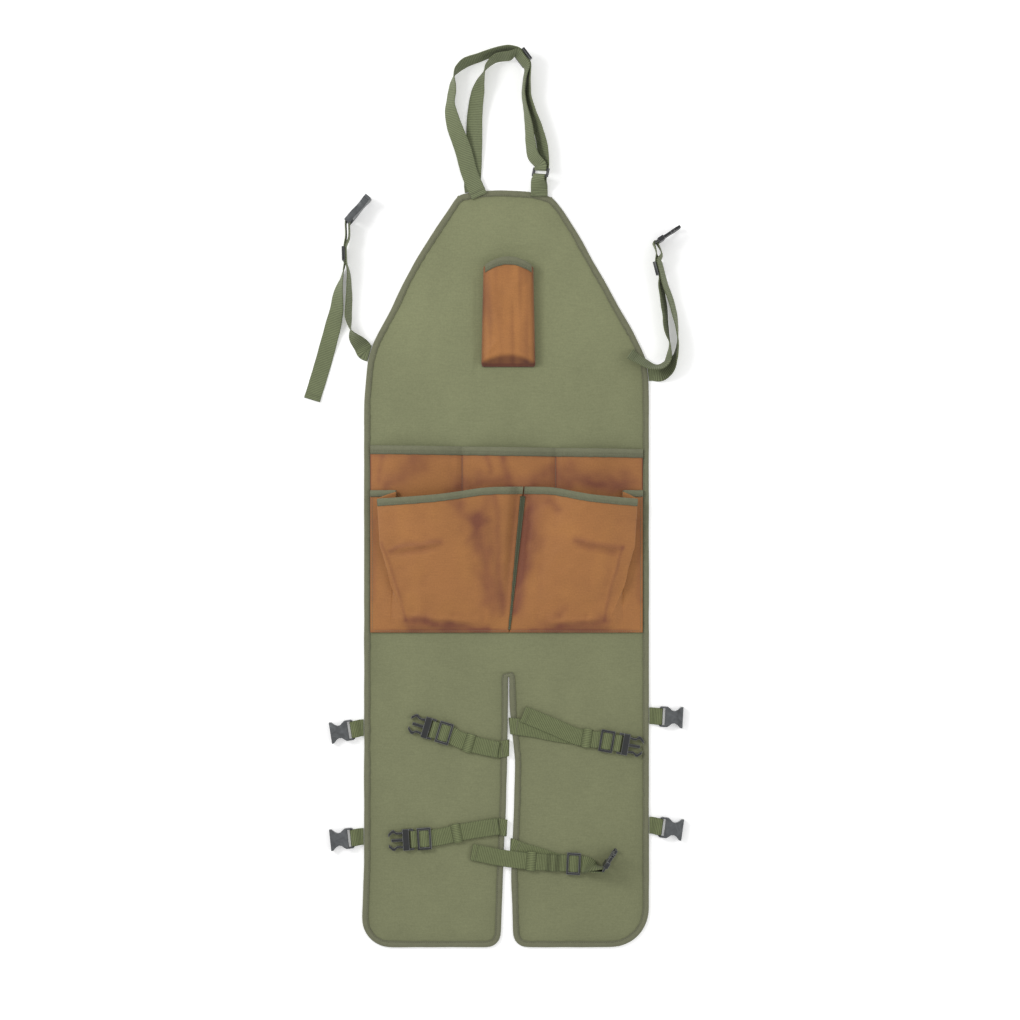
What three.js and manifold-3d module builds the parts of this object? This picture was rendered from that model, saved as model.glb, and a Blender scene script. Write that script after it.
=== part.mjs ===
// A gardening apron that lies flat, front up: bib, pockets, two legs and webbing straps with buckles.
// Millimetres, +X to the wearer's left hand side as seen here, +Y towards the neck, +Z up.
import * as THREE from 'three';
import { mergeVertices } from 'three/addons/utils/BufferGeometryUtils.js';
import Module from 'manifold-3d';

const wasm = await Module();
wasm.setup();

// Cloth, tape and webbing
const clearance = 0.3;
const panelThickness = 1.6;
const clothThickness = 1.2;
const tapeThickness = 1.0;
const pocketTapeThickness = 0.8;
const webbingWidth = 25;
const webbingThickness = 1.6;

// Panel
const apronLength = 1135;
const apronWidth = 427;
const bibHeight = 300;
const hemFlare = 3;
const hemCornerLeft = 42;
const hemCornerRight = 57;
const slitCorner = 20;
const slitLength = 409;
const slitWidth = 18;
const bindingWidth = 9;

// Rear pocket row
const pocketBottom = 472;
const rearMouth = 748;
const rearMouthTilt = 6;
const rearBow = 12;
const rearBowStart = 590;
const rearDividerLeft = -66.5;
const rearDividerRight = 73.5;
const rearTapeWidth = 11.5;

// Front pockets
const frontMouth = 689;
const frontDepth = 24;
const frontSag = 18;
const seamLean = 22;
const seamFlange = 6;
const frontTapeWidth = 9.5;
const seamTapeTop = 8;
const seamTapeBottom = 3;

// Chest pocket
const chestBottom = 870;
const chestHeight = 148;
const chestArch = 14;
const chestWidth = 80;
const chestTaper = 6;
const chestDepth = 18;
const chestTapeWidth = 10.5;

// Neck loop and waist straps
const neckLoopWidth = 140;
const neckLoopHeight = 210;
const neckStrapStart = -50;
const neckTabEnd = 49;
const waistReach = 180;
const waistLeftStart = 890;
const waistRightStart = 861;

// Sliders, buckles and keepers
const sliderLength = 21;
const hardwareWidth = 33;
const sliderBar = 3;
const sliderBarHeight = 2.2;
const sliderOverrun = 1.2;
const ringLength = 14;
const barRadius = 1.5;
const buckleWidth = 32;
const legFemaleLength = 35;
const waistFemaleLength = 50;
const legMaleLength = 38;
const waistMaleLength = 46;
const femaleThickness = 9.5;
const maleThickness = 7;
const prongThickness = 4.4;
const buckleWall = 1.8;
const keeperLength = 13;
const keeperThickness = 1.2;
const stubLength = 15;

// Leg straps: where each is sewn to the edge of the slit, and how far it reaches to its buckle's bar
const upperLeftStart = 299;
const upperLeftReach = 111;
const upperRightStart = 332;
const upperRightReach = 161;
const lowerLeftStart = 179;
const lowerLeftReach = 138;
const lowerRightStart = 151;
const lowerRightReach = 135;

// Heights that follow from the layers
const panelBottom = tapeThickness + clearance;
const panelTop = panelBottom + panelThickness;
const bindingTop = panelTop + clearance + tapeThickness;
const tapeLift = pocketTapeThickness + 2.4 * clearance;
const halfWidth = apronWidth / 2;
const wrapRadius = barRadius + clearance + webbingThickness / 2;
const pairGap = webbingThickness + clearance;
const keeperBase = panelTop + clearance;
const lowerLayer = Math.max(keeperBase + keeperThickness, bindingTop) + clearance + webbingThickness / 2;
const upperLayer = lowerLayer + pairGap;

const up = new THREE.Vector3(0, 0, 1);
const apron = new THREE.Group();

function material(color, roughness) {
  return new THREE.MeshStandardMaterial({ color, roughness, metalness: 0 });
}

const panelCloth = material('#84875f', 0.9);
const pocketCloth = material('#a36f42', 0.75);
const bindingTape = material('#6f7157', 0.9);
const webbing = material('#68714f', 0.85);
const plastic = material('#3c3d40', 0.45);

function addPiece(name, geometry, surface) {
  const piece = new THREE.Mesh(geometry, surface);
  piece.name = name;
  apron.add(piece);
  return piece;
}

// Straight line between the rows of a table whose first column is the place
function lookUp(rows, place, column) {
  const last = rows.length - 1;
  const index = rows.findIndex((row, i) => i === last || place <= rows[i + 1][0]);
  if (index === last) {
    return rows[last][column];
  }
  const step = rows[index + 1][0] - rows[index][0];
  const share = THREE.MathUtils.clamp((place - rows[index][0]) / step, 0, 1);
  return THREE.MathUtils.lerp(rows[index][column], rows[index + 1][column], share);
}

function geometryFrom(points, triangles) {
  const geometry = new THREE.BufferGeometry();
  geometry.setAttribute('position', new THREE.Float32BufferAttribute(points.flatMap((p) => [p.x, p.y, p.z]), 3));
  geometry.setIndex(triangles);
  return geometry;
}

// Skin over a row of closed profiles; profile is the flat shape that closes the two ends.
// Both broad faces of a band are split along the same diagonal, so a twisted one keeps its thickness;
// mirrored marks the spans whose diagonal is the other one.
function loft(sections, profile, closed, mirrored = []) {
  const sides = profile.length;
  const count = sections.length;
  const triangles = [];
  const spans = closed ? count : count - 1;
  for (let i = 0; i < spans; i += 1) {
    for (let j = 0; j < sides; j += 1) {
      const a = i * sides + j;
      const b = i * sides + ((j + 1) % sides);
      const c = ((i + 1) % count) * sides + ((j + 1) % sides);
      const d = ((i + 1) % count) * sides + j;
      if ((2 * j >= sides) !== Boolean(mirrored[i])) {
        triangles.push(a, b, d, b, c, d);
      } else {
        triangles.push(a, b, c, a, c, d);
      }
    }
  }
  if (!closed) {
    const cap = THREE.ShapeUtils.triangulateShape(profile, []);
    const end = (count - 1) * sides;
    cap.forEach(([a, b, c]) => triangles.push(a, c, b, end + a, end + b, end + c));
  }
  return geometryFrom(sections.flat(), triangles);
}

// Cloth of even thickness about a grid of points on its middle surface
function clothSolid(grid, thickness) {
  const rows = grid.length;
  const columns = grid[0].length;
  const lower = [];
  const upper = [];
  grid.forEach((line, r) => line.forEach((point, c) => {
    const across = grid[r][Math.min(c + 1, columns - 1)].clone().sub(grid[r][Math.max(c - 1, 0)]);
    const along = grid[Math.min(r + 1, rows - 1)][c].clone().sub(grid[Math.max(r - 1, 0)][c]);
    const normal = across.cross(along).normalize().multiplyScalar(thickness / 2);
    lower.push(point.clone().sub(normal));
    upper.push(point.clone().add(normal));
  }));
  const triangles = [];
  const top = rows * columns;
  const quad = (a, b, c, d) => triangles.push(a, b, c, a, c, d);
  for (let r = 0; r < rows - 1; r += 1) {
    for (let c = 0; c < columns - 1; c += 1) {
      const a = r * columns + c;
      const b = a + columns;
      quad(top + a, top + a + 1, top + b + 1, top + b);
      quad(a, b, b + 1, a + 1);
    }
    const left = r * columns;
    const right = left + columns - 1;
    quad(left, top + left, top + left + columns, left + columns);
    quad(right, right + columns, top + right + columns, top + right);
  }
  for (let c = 0; c < columns - 1; c += 1) {
    const far = (rows - 1) * columns + c;
    quad(c, c + 1, top + c + 1, top + c);
    quad(far, top + far, top + far + 1, far + 1);
  }
  return geometryFrom([...lower, ...upper], triangles);
}

// Outline of the visible edge, anticlockwise, from the table of half widths down the bib
// columns: drop below the top (share of bib height), left and right half width (share of half the apron)
const bibRows = [
  [0.045, 0.36, 0.335],
  [0.108, 0.418, 0.404],
  [0.228, 0.53, 0.509],
  [0.348, 0.636, 0.601],
  [0.468, 0.727, 0.699],
  [0.588, 0.804, 0.79],
  [0.708, 0.896, 0.889],
  [0.768, 0.938, 0.931],
  [0.848, 0.973, 0.98],
  [0.948, 0.987, 0.997],
  [1.05, 1, 1],
];
// columns: place across (share of half the apron), drop below the top (share of bib height)
const topRows = [
  [-0.33, 0.023],
  [-0.19, 0.006],
  [-0.05, 0],
  [0.165, 0.008],
  [0.3, 0.03],
];
// columns: way down the slit (share of its length), left and right edge (share of its width)
const slitRows = [
  [0, 0.13, 0.21],
  [0.06, 0.125, 0.235],
  [0.14, 0.12, 0.29],
  [0.315, 0.04, 0.71],
  [0.48, -0.04, 0.63],
  [0.726, -0.29, 0.38],
  [0.94, -0.46, 0.54],
];

function cornerArc(corner, radius, startAngle) {
  const steps = 5;
  return Array.from({ length: steps + 1 }, (_, i) => {
    const angle = startAngle + (i / steps) * (Math.PI / 2);
    return new THREE.Vector2(corner.x + radius * Math.cos(angle), corner.y + radius * Math.sin(angle));
  });
}

function slitEdge(y, column) {
  return lookUp(slitRows, (slitLength - y) / slitLength, column) * slitWidth;
}

const panelOutline = (() => {
  const leftHem = -halfWidth - hemFlare;
  const leftSlit = slitEdge(0, 1);
  const rightSlit = slitEdge(0, 2);
  const bib = (row, sign, column) => new THREE.Vector2(sign * row[column] * halfWidth, apronLength - row[0] * bibHeight);
  const slit = (row, column) => new THREE.Vector2(row[column] * slitWidth, slitLength * (1 - row[0]));
  const quarter = Math.PI / 2;
  return [
    ...slitRows.slice(0, -1).map((row) => slit(row, 1)),
    ...cornerArc(new THREE.Vector2(leftSlit - slitCorner, slitCorner), slitCorner, -quarter).reverse(),
    ...cornerArc(new THREE.Vector2(leftHem + hemCornerLeft, hemCornerLeft), hemCornerLeft, Math.PI).reverse(),
    new THREE.Vector2(-halfWidth, hemCornerLeft * 3),
    ...bibRows.slice().reverse().map((row) => bib(row, -1, 1)),
    ...topRows.map(([across, drop]) => new THREE.Vector2(across * halfWidth, apronLength - drop * bibHeight)),
    ...bibRows.map((row) => bib(row, 1, 2)),
    ...cornerArc(new THREE.Vector2(halfWidth - hemCornerRight, hemCornerRight), hemCornerRight, -quarter).reverse(),
    ...cornerArc(new THREE.Vector2(rightSlit + slitCorner, slitCorner), slitCorner, Math.PI).reverse(),
    ...slitRows.slice(0, -1).reverse().map((row) => slit(row, 2)),
  ].reverse();
})();

// The outline moved inwards by a distance, each corner along its own bisector
function insetOutline(outline, distance) {
  const count = outline.length;
  return outline.map((point, i) => {
    const before = point.clone().sub(outline[(i + count - 1) % count]).normalize();
    const after = outline[(i + 1) % count].clone().sub(point).normalize();
    const inward = new THREE.Vector2(-before.y - after.y, before.x + after.x).normalize();
    const cosine = Math.max(inward.dot(new THREE.Vector2(-after.y, after.x)), 0.5);
    return point.clone().addScaledVector(inward, distance / cosine);
  });
}

// Where the outline's left or right side lies at a height, with its outward direction
function sidePoint(y, sign) {
  const count = panelOutline.length;
  for (let i = 0; i < count; i += 1) {
    const a = panelOutline[i];
    const b = panelOutline[(i + 1) % count];
    const within = (a.y - y) * (b.y - y) <= 0 && a.y !== b.y;
    const x = within ? a.x + ((b.x - a.x) * (y - a.y)) / (b.y - a.y) : 0;
    if (within && x * sign > slitWidth) {
      const outward = new THREE.Vector2(b.y - a.y, a.x - b.x).normalize();
      return { x, y, outward };
    }
  }
  return null;
}

// Main panel and the tape folded over its whole edge
function buildPanel() {
  const shape = new THREE.Shape(insetOutline(panelOutline, tapeThickness + clearance));
  const panel = new THREE.ExtrudeGeometry(shape, { depth: panelThickness, bevelEnabled: false });
  panel.translate(0, 0, panelBottom);
  addPiece('main_panel', panel, panelCloth);

  const profile = [
    [0, 0], [bindingWidth, 0], [bindingWidth, tapeThickness], [tapeThickness, tapeThickness],
    [tapeThickness, bindingTop - tapeThickness], [bindingWidth, bindingTop - tapeThickness],
    [bindingWidth, bindingTop], [0, bindingTop],
  ].map(([inset, z]) => new THREE.Vector2(inset, z));
  const rings = profile.map((corner) => insetOutline(panelOutline, corner.x));
  const sections = panelOutline.map((_, i) => profile.map((corner, j) => (
    new THREE.Vector3(rings[j][i].x, rings[j][i].y, corner.y))));
  addPiece('edge_binding', loft(sections, profile, true), bindingTape);
}

// Middle surface of the rear pocket row: flat at its seams, bowed out at each mouth
function rearCompartment(x) {
  const edge = halfWidth - bindingWidth - 2 * clearance;
  const seams = [-edge, rearDividerLeft, rearDividerRight, edge];
  const index = seams.findIndex((seam, i) => i === 2 || x <= seams[i + 1]);
  return THREE.MathUtils.clamp((x - seams[index]) / (seams[index + 1] - seams[index]), 0, 1);
}

function rearMouthAt(x) {
  return rearMouth - (rearMouthTilt / 2) * (x / halfWidth);
}

function rearHeight(x, y) {
  const open = THREE.MathUtils.smoothstep(y, rearBowStart, rearMouth);
  const lift = tapeLift * THREE.MathUtils.smoothstep(y, rearMouth - 40, rearMouth - 15);
  const base = panelTop + clearance + clothThickness / 2;
  return base + lift + rearBow * open * Math.sin(Math.PI * rearCompartment(x));
}

// Tape folded over a mouth: stations are {point, down, out} on the cloth's middle surface
function mouthTape(stations, width) {
  const inner = clothThickness / 2 + 2 * clearance;
  const outer = inner + pocketTapeThickness;
  const profile = [
    [-outer - clearance, -outer], [width, -outer], [width, -inner], [-clearance, -inner],
    [-clearance, inner], [width, inner], [width, outer], [-outer - clearance, outer],
  ].map(([down, out]) => new THREE.Vector2(down, out));
  const sections = stations.map(({ point, down, out }) => profile.map((corner) => (
    point.clone().addScaledVector(down, corner.x).addScaledVector(out, corner.y))));
  return loft(sections, profile, false);
}

function stationsAlong(edge, inside) {
  return edge.map((point, i) => {
    const along = edge[Math.min(i + 1, edge.length - 1)].clone().sub(edge[Math.max(i - 1, 0)]).normalize();
    const toward = inside[i].clone().sub(point).normalize();
    return { point, down: toward, out: along.clone().cross(toward).normalize() };
  });
}

function buildRearPocket() {
  const edge = halfWidth - bindingWidth - 2 * clearance;
  const seams = [-edge, rearDividerLeft, rearDividerRight, edge];
  const steps = 8;
  const places = seams.slice(0, -1).flatMap((seam, i) => (
    Array.from({ length: steps }, (_, j) => THREE.MathUtils.lerp(seam, seams[i + 1], j / steps))));
  places.push(edge);
  const heights = [0, 0.42, 0.56, 0.68, 0.78, 0.88, 0.94, 1];
  const grid = heights.map((share) => places.map((x) => {
    const y = THREE.MathUtils.lerp(pocketBottom, rearMouthAt(x), share);
    return new THREE.Vector3(x, y, rearHeight(x, y));
  }));
  addPiece('rear_pocket', clothSolid(grid, clothThickness), pocketCloth);
  const stations = stationsAlong(grid.at(-1), grid.at(-2));
  addPiece('rear_pocket_binding', mouthTape(stations, rearTapeWidth), bindingTape);
}

// Front pockets: side pleat, then the front that bulges and falls to the seam between the two
// columns: way up, crease and inner fold from the side seam (share of the pocket's width)
const pleatRows = [
  [0, 0.3, 0.15],
  [0.09, 0.27, 0.14],
  [0.35, 0.16, 0.15],
  [0.65, 0.07, 0.155],
  [1, 0.05, 0.17],
];
// columns: way from crease to seam, height (share of the pocket's depth), drop of the mouth (share of sag)
const bulgeRows = [
  [0, 0.62, 1],
  [0.2, 0.9, 0.85],
  [0.42, 1, 0.62],
  [0.6, 0.88, 0.32],
  [0.74, 0.62, 0.06],
  [0.82, 0.52, 0.03],
  [0.92, 0.42, 0.01],
  [1, 0, 0],
];
// columns: way up, height (share of the bulge) at the crease and at the seam
const riseRows = [
  [0, 0, 0],
  [0.05, 0.4, 0.1],
  [0.1, 0.62, 0.25],
  [0.25, 0.72, 0.55],
  [0.5, 0.85, 0.85],
  [0.8, 1, 1],
  [1, 0.95, 0.95],
];

function frontLift(share) {
  return tapeLift * THREE.MathUtils.smoothstep(share, 0.8, 0.94);
}

function seamPlace(share) {
  return slitRows[0][2] * slitWidth + seamLean * share;
}

// One row of the front pocket, from its side seam to the middle seam, on one side
function frontSection(share, sign) {
  const side = halfWidth - bindingWidth - 2 * clearance;
  const reach = side + (sign < 0 ? seamPlace(share) : -seamPlace(share)) - 1;
  const creaseAway = lookUp(pleatRows, share, 1) * reach;
  const foldAway = lookUp(pleatRows, share, 2) * reach;
  const rise = (place) => THREE.MathUtils.lerp(lookUp(riseRows, share, 1), lookUp(riseRows, share, 2), place);
  const creaseHeight = frontDepth * bulgeRows[0][1] * rise(0);
  const foldHeight = creaseHeight * 0.38;
  const folded = THREE.MathUtils.smoothstep(foldAway - creaseAway, -2, 14);
  const half = clothThickness * 0.95 * folded;
  const tip = clothThickness * 2.2;
  const back = THREE.MathUtils.lerp(1, -1, folded);
  const points = [
    { away: 0, height: 0, drop: 0.3 },
    { away: foldAway * 0.5, height: (foldHeight - half) * 0.45, drop: 0.3 },
    { away: foldAway - tip, height: (foldHeight - half) * 0.9, drop: 0.3 },
    { away: foldAway, height: foldHeight, drop: 0.35 },
    { away: foldAway + tip * back, height: foldHeight + half, drop: 0.4 },
    { away: (foldAway + creaseAway) / 2, height: (foldHeight + creaseHeight) / 2, drop: 0.6 },
    { away: creaseAway - tip * back, height: creaseHeight - half, drop: 0.85 },
    { away: creaseAway, height: creaseHeight, drop: 1 },
  ];
  const frontPlaces = [0.03, 0.12, 0.25, 0.42, 0.58, 0.7, 0.8, 0.9, 0.96, 1];
  frontPlaces.forEach((place) => {
    const away = creaseAway + tip * 0.4 + (reach - creaseAway - tip * 0.4) * place;
    const fromSeam = THREE.MathUtils.smoothstep(reach - away, seamFlange, seamFlange * 4);
    const height = (frontDepth * lookUp(bulgeRows, place, 1) * rise(place) + half) * fromSeam;
    points.push({ away, height, drop: lookUp(bulgeRows, place, 2) });
  });
  return points.map(({ away, height, drop }) => {
    const x = sign * (side - away);
    const y = THREE.MathUtils.lerp(pocketBottom, frontMouth - drop * frontSag, share);
    const base = rearHeight(x, y) + clothThickness + 2 * clearance + frontLift(share);
    return new THREE.Vector3(x, y, base + height);
  });
}

function buildFrontPocket(name, sign) {
  const shares = [0, 0.04, 0.09, 0.18, 0.35, 0.5, 0.65, 0.82, 0.95, 1];
  const grid = shares.map((share) => {
    const section = frontSection(share, sign);
    return sign < 0 ? section : section.reverse();
  });
  addPiece(name, clothSolid(grid, clothThickness), pocketCloth);
  const front = (row) => (sign < 0 ? row.slice(9) : row.slice(0, -9));
  const stations = stationsAlong(front(grid.at(-1)), front(grid.at(-2)));
  addPiece(`${name}_binding`, mouthTape(stations, frontTapeWidth), bindingTape);
}

// Centre seam tape: flat strip over the seam between the front pockets
function buildSeamTape() {
  const shares = [0.02, 0.2, 0.4, 0.6, 0.8, 0.94];
  const sections = shares.map((share) => {
    const x = seamPlace(share);
    const y = THREE.MathUtils.lerp(pocketBottom, frontMouth, share);
    const half = THREE.MathUtils.lerp(seamTapeBottom, seamTapeTop, share) / 2;
    const z = rearHeight(x, y) + 1.5 * clothThickness + 4 * clearance + frontLift(share);
    const corners = [[-half, 0], [half, 0], [half, pocketTapeThickness], [-half, pocketTapeThickness]];
    return corners.map(([across, rise]) => new THREE.Vector3(x + across, y, z + rise));
  });
  const profile = [[0, 0], [1, 0], [1, 1], [0, 1]].map(([x, y]) => new THREE.Vector2(x, y));
  addPiece('centre_seam_tape', loft(sections.reverse(), profile, false), bindingTape);
}

// Chest pocket: a box of cloth with steep sides, closed at the bottom and open under its arched mouth
function buildChestPocket() {
  const columns = 16;
  const boxiness = 4;
  const rows = [0, 0.04, 0.08, 0.12, 0.25, 0.5, 0.75, 0.93, 1];
  const grid = rows.map((share) => Array.from({ length: columns + 1 }, (_, i) => {
    const angle = Math.PI * (1 - i / columns);
    const across = Math.sign(Math.cos(angle)) * Math.abs(Math.cos(angle)) ** (2 / boxiness);
    const out = Math.abs(Math.sin(angle)) ** (2 / boxiness);
    const deep = chestDepth * THREE.MathUtils.smoothstep(share, -0.02, 0.13);
    const half = (chestWidth - chestTaper * share) / 2;
    const mouth = chestHeight + chestArch * (1 - across * across);
    const z = panelTop + clearance + clothThickness / 2 + deep * out;
    return new THREE.Vector3(seamPlace(0) - 1 + across * half, chestBottom + mouth * share, z);
  }));
  addPiece('chest_pocket', clothSolid(grid, clothThickness), pocketCloth);
  const face = (row) => row.slice(3, -3);
  const stations = stationsAlong(face(grid.at(-1)), face(grid.at(-2)));
  addPiece('chest_pocket_binding', mouthTape(stations, chestTapeWidth), bindingTape);
}

// Webbing: a strap follows stops {point, across}; across is the direction of its width.
// It runs straight between firm stops, and bends freely between the others.
function rollVector(travel, roll) {
  const left = new THREE.Vector3(-travel.y, travel.x, 0).normalize();
  const angle = THREE.MathUtils.degToRad(roll);
  return left.multiplyScalar(Math.cos(angle)).addScaledVector(up, -Math.sin(angle));
}

// Stops of a free stretch that rests on its lower edge, from rows of x, y, roll and lift
function freeStops(rows) {
  return rows.map(([x, y, roll, lift]) => {
    const angle = THREE.MathUtils.degToRad(roll);
    const flat = (webbingThickness / 2) * Math.abs(Math.cos(angle));
    const height = flat + (webbingWidth / 2) * Math.abs(Math.sin(angle));
    return { point: new THREE.Vector3(x, y, 1.6 * clearance + height + lift), roll };
  });
}

function strapGeometry(stops) {
  const stepLength = 15;
  const stepTurn = THREE.MathUtils.degToRad(9);
  const points = stops.map((stop) => stop.point);
  const spread = stops.map((stop, i) => {
    if (stop.across) {
      return stop.across;
    }
    const travel = points[Math.min(i + 1, points.length - 1)].clone().sub(points[Math.max(i - 1, 0)]);
    return rollVector(travel, stop.roll);
  });
  const curve = new THREE.CatmullRomCurve3(points, false, 'centripetal');
  const line = [];
  const mirrored = [];
  let back = false;
  points.slice(0, -1).forEach((point, i) => {
    back = stops[i].turn && !stops[i + 1].turn ? !back : back;
    const turned = Math.round(spread[i].angleTo(spread[i + 1]) / stepTurn);
    const parts = Math.max(1, turned, Math.round(point.distanceTo(points[i + 1]) / stepLength));
    const firm = stops[i].firm && stops[i + 1].firm;
    line.push({ point: point.clone(), across: spread[i], firm: stops[i].firm });
    mirrored.push(back);
    for (let j = 1; j < parts && !firm; j += 1) {
      mirrored.push(back);
      const across = spread[i].clone().lerp(spread[i + 1], j / parts).normalize();
      line.push({ point: curve.getPoint((i + j / parts) / (points.length - 1)), across });
    }
  });
  line.push({ point: points.at(-1).clone(), across: spread.at(-1) });
  const corners = [[-1, -1], [1, -1], [1, 1], [-1, 1]];
  const sections = line.map(({ point, across, firm }, i) => {
    const ahead = line[Math.min(i + 1, line.length - 1)].point;
    const travel = ahead.clone().sub(line[Math.max(i - 1, 0)].point).normalize();
    const width = across.clone().addScaledVector(travel, firm ? 0 : -across.dot(travel)).normalize();
    const out = travel.clone().cross(width).normalize();
    const lowest = point.z - (Math.abs(width.z) * webbingWidth + Math.abs(out.z) * webbingThickness) / 2;
    const onFloor = point.clone().setZ(point.z + (firm ? 0 : Math.max(0, clearance - lowest)));
    return corners.map(([a, b]) => onFloor.clone()
      .addScaledVector(width, (a * webbingWidth) / 2)
      .addScaledVector(out, (b * webbingThickness) / 2));
  });
  const profile = corners.map(([a, b]) => new THREE.Vector2(a, b));
  return loft(sections, profile, false, mirrored);
}

// A seat is a place on the strap's route where hardware sits: its middle, travel and width directions
function seat(x, y, z, headingX, headingY, roll) {
  const travel = new THREE.Vector3(headingX, headingY, 0).normalize();
  const across = rollVector(travel, roll);
  return { point: new THREE.Vector3(x, y, z), travel, across, out: travel.clone().cross(across) };
}

function onSeat(place, along, out) {
  return {
    point: place.point.clone().addScaledVector(place.travel, along).addScaledVector(place.out, out),
    across: place.across,
    firm: true,
  };
}

// First pass lies flat behind the slider; the second, coming back, goes over its middle bar
function firstPass(place) {
  const end = sliderLength / 2 + sliderOverrun;
  return [-end, end].map((along) => onSeat(place, along, -pairGap / 2));
}

function secondPass(place) {
  const half = sliderLength / 2;
  const over = sliderBarHeight + clearance + 0.1;
  const rows = [[half + sliderOverrun, 0], [half - sliderBar - 0.6, 0], [sliderBar / 2 + 0.3, over]];
  const before = rows.map(([along, rise]) => onSeat(place, along, pairGap / 2 + rise));
  const after = rows.slice().reverse().map(([along, rise]) => onSeat(place, -along, pairGap / 2 + rise));
  return [...before, ...after];
}

// Half turn round a bar, from the lower to the upper side of the seat, with a straight lead on either side
function wrap(place, lead = 4) {
  const steps = 6;
  const turn = Array.from({ length: steps + 1 }, (_, i) => {
    const angle = (Math.PI * i) / steps;
    return { ...onSeat(place, wrapRadius * Math.sin(angle), -wrapRadius * Math.cos(angle)), turn: true };
  });
  return [onSeat(place, -lead, -wrapRadius), ...turn, onSeat(place, -lead, wrapRadius)];
}

function place(geometry, where) {
  const matrix = new THREE.Matrix4().makeBasis(where.travel, where.across, where.out);
  return geometry.applyMatrix4(matrix.setPosition(where.point));
}

// Solids for the moulded pieces
function solidOf(geometry) {
  geometry.deleteAttribute('normal');
  geometry.deleteAttribute('uv');
  const merged = mergeVertices(geometry, 1e-4);
  const vertProperties = new Float32Array(merged.attributes.position.array);
  const triVerts = new Uint32Array(merged.index.array);
  return new wasm.Manifold(new wasm.Mesh({ numProp: 3, vertProperties, triVerts }));
}

function geometryOf(solid) {
  const mesh = solid.getMesh();
  const geometry = new THREE.BufferGeometry();
  geometry.setAttribute('position', new THREE.Float32BufferAttribute(mesh.vertProperties, 3));
  geometry.setIndex(new THREE.Uint32BufferAttribute(mesh.triVerts, 1));
  return geometry;
}

function block(x0, x1, y0, y1, z0, z1) {
  const box = new THREE.BoxGeometry(x1 - x0, y1 - y0, z1 - z0);
  return solidOf(box.translate((x0 + x1) / 2, (y0 + y1) / 2, (z0 + z1) / 2));
}

function bar(x, z, length) {
  return solidOf(new THREE.CylinderGeometry(barRadius, barRadius, length, 8).translate(x, 0, z));
}

function plate(rows, thickness) {
  const upper = rows.map(([x, y]) => new THREE.Vector2(x, y));
  const lower = rows.slice().reverse().map(([x, y]) => new THREE.Vector2(x, -y));
  const shape = new THREE.Shape([...lower, ...upper]);
  const geometry = new THREE.ExtrudeGeometry(shape, { depth: thickness, bevelEnabled: false });
  return solidOf(geometry.translate(0, 0, -thickness / 2));
}

// Three-bar slider: the end bars lie over the webbing, the middle bar under it
function buildSlider(name, where) {
  const half = sliderLength / 2;
  const side = hardwareWidth / 2;
  const inner = webbingWidth / 2 + clearance + 0.2;
  const low = webbingThickness / 2 + clearance - pairGap / 2;
  const endLow = pairGap / 2 + webbingThickness / 2 + clearance;
  const high = endLow + sliderBarHeight;
  const solid = block(-half, half, -side, -inner, low, high)
    .add(block(-half, half, inner, side, low, high))
    .add(block(-half, -half + sliderBar, -side, side, endLow, high))
    .add(block(half - sliderBar, half, -side, side, endLow, high))
    .add(block(-sliderBar / 2, sliderBar / 2, -side, side, low, low + sliderBarHeight));
  addPiece(name, place(geometryOf(solid), where), plastic);
}

// Two-bar ring
function buildRing(name, where) {
  const side = hardwareWidth / 2;
  const inner = webbingWidth / 2 + clearance + 0.2;
  const far = ringLength / 2 - barRadius;
  const rails = block(-far, far, -side, -inner, -barRadius, barRadius)
    .add(block(-far, far, inner, side, -barRadius, barRadius));
  const solid = rails.add(bar(-far, 0, hardwareWidth)).add(bar(far, 0, hardwareWidth));
  addPiece(name, place(geometryOf(solid), where), plastic);
}

// Both buckle halves start at the bar that the webbing goes round, with an open bay behind it
const bayLength = 7;
// columns: way to the mouth, half width (share of half the buckle)
const femaleRows = [
  [0, 0.86], [0.06, 0.95], [0.34, 0.95], [0.44, 0.8], [0.54, 0.6], [0.66, 0.56], [0.78, 0.7], [0.9, 0.97], [1, 1],
];
// columns: way from the bay to the tips, outer edge of a side arm (share of half the buckle)
const armRows = [[0, 0.8], [0.25, 0.72], [0.45, 0.74], [0.62, 0.98], [0.74, 0.96], [1, 0.62]];

function buildFemale(name, where, length) {
  const half = buckleWidth / 2;
  const inner = webbingWidth / 2 + clearance + 0.3;
  const outline = femaleRows.map(([way, wide]) => [way * length - barRadius, wide * half]);
  const hollow = femaleRows.filter(([way]) => way > 0.34)
    .map(([way, wide]) => [way * length - barRadius, wide * half - buckleWall]);
  hollow.push([length + 1, hollow.at(-1)[1]]);
  const solid = plate(outline, femaleThickness)
    .subtract(plate(hollow, femaleThickness - 2 * buckleWall))
    .subtract(block(-barRadius - 1, bayLength, -inner, inner, -half, half))
    .add(bar(0, 0, 2 * inner + 1));
  addPiece(name, place(geometryOf(solid), where), plastic);
}

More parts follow.
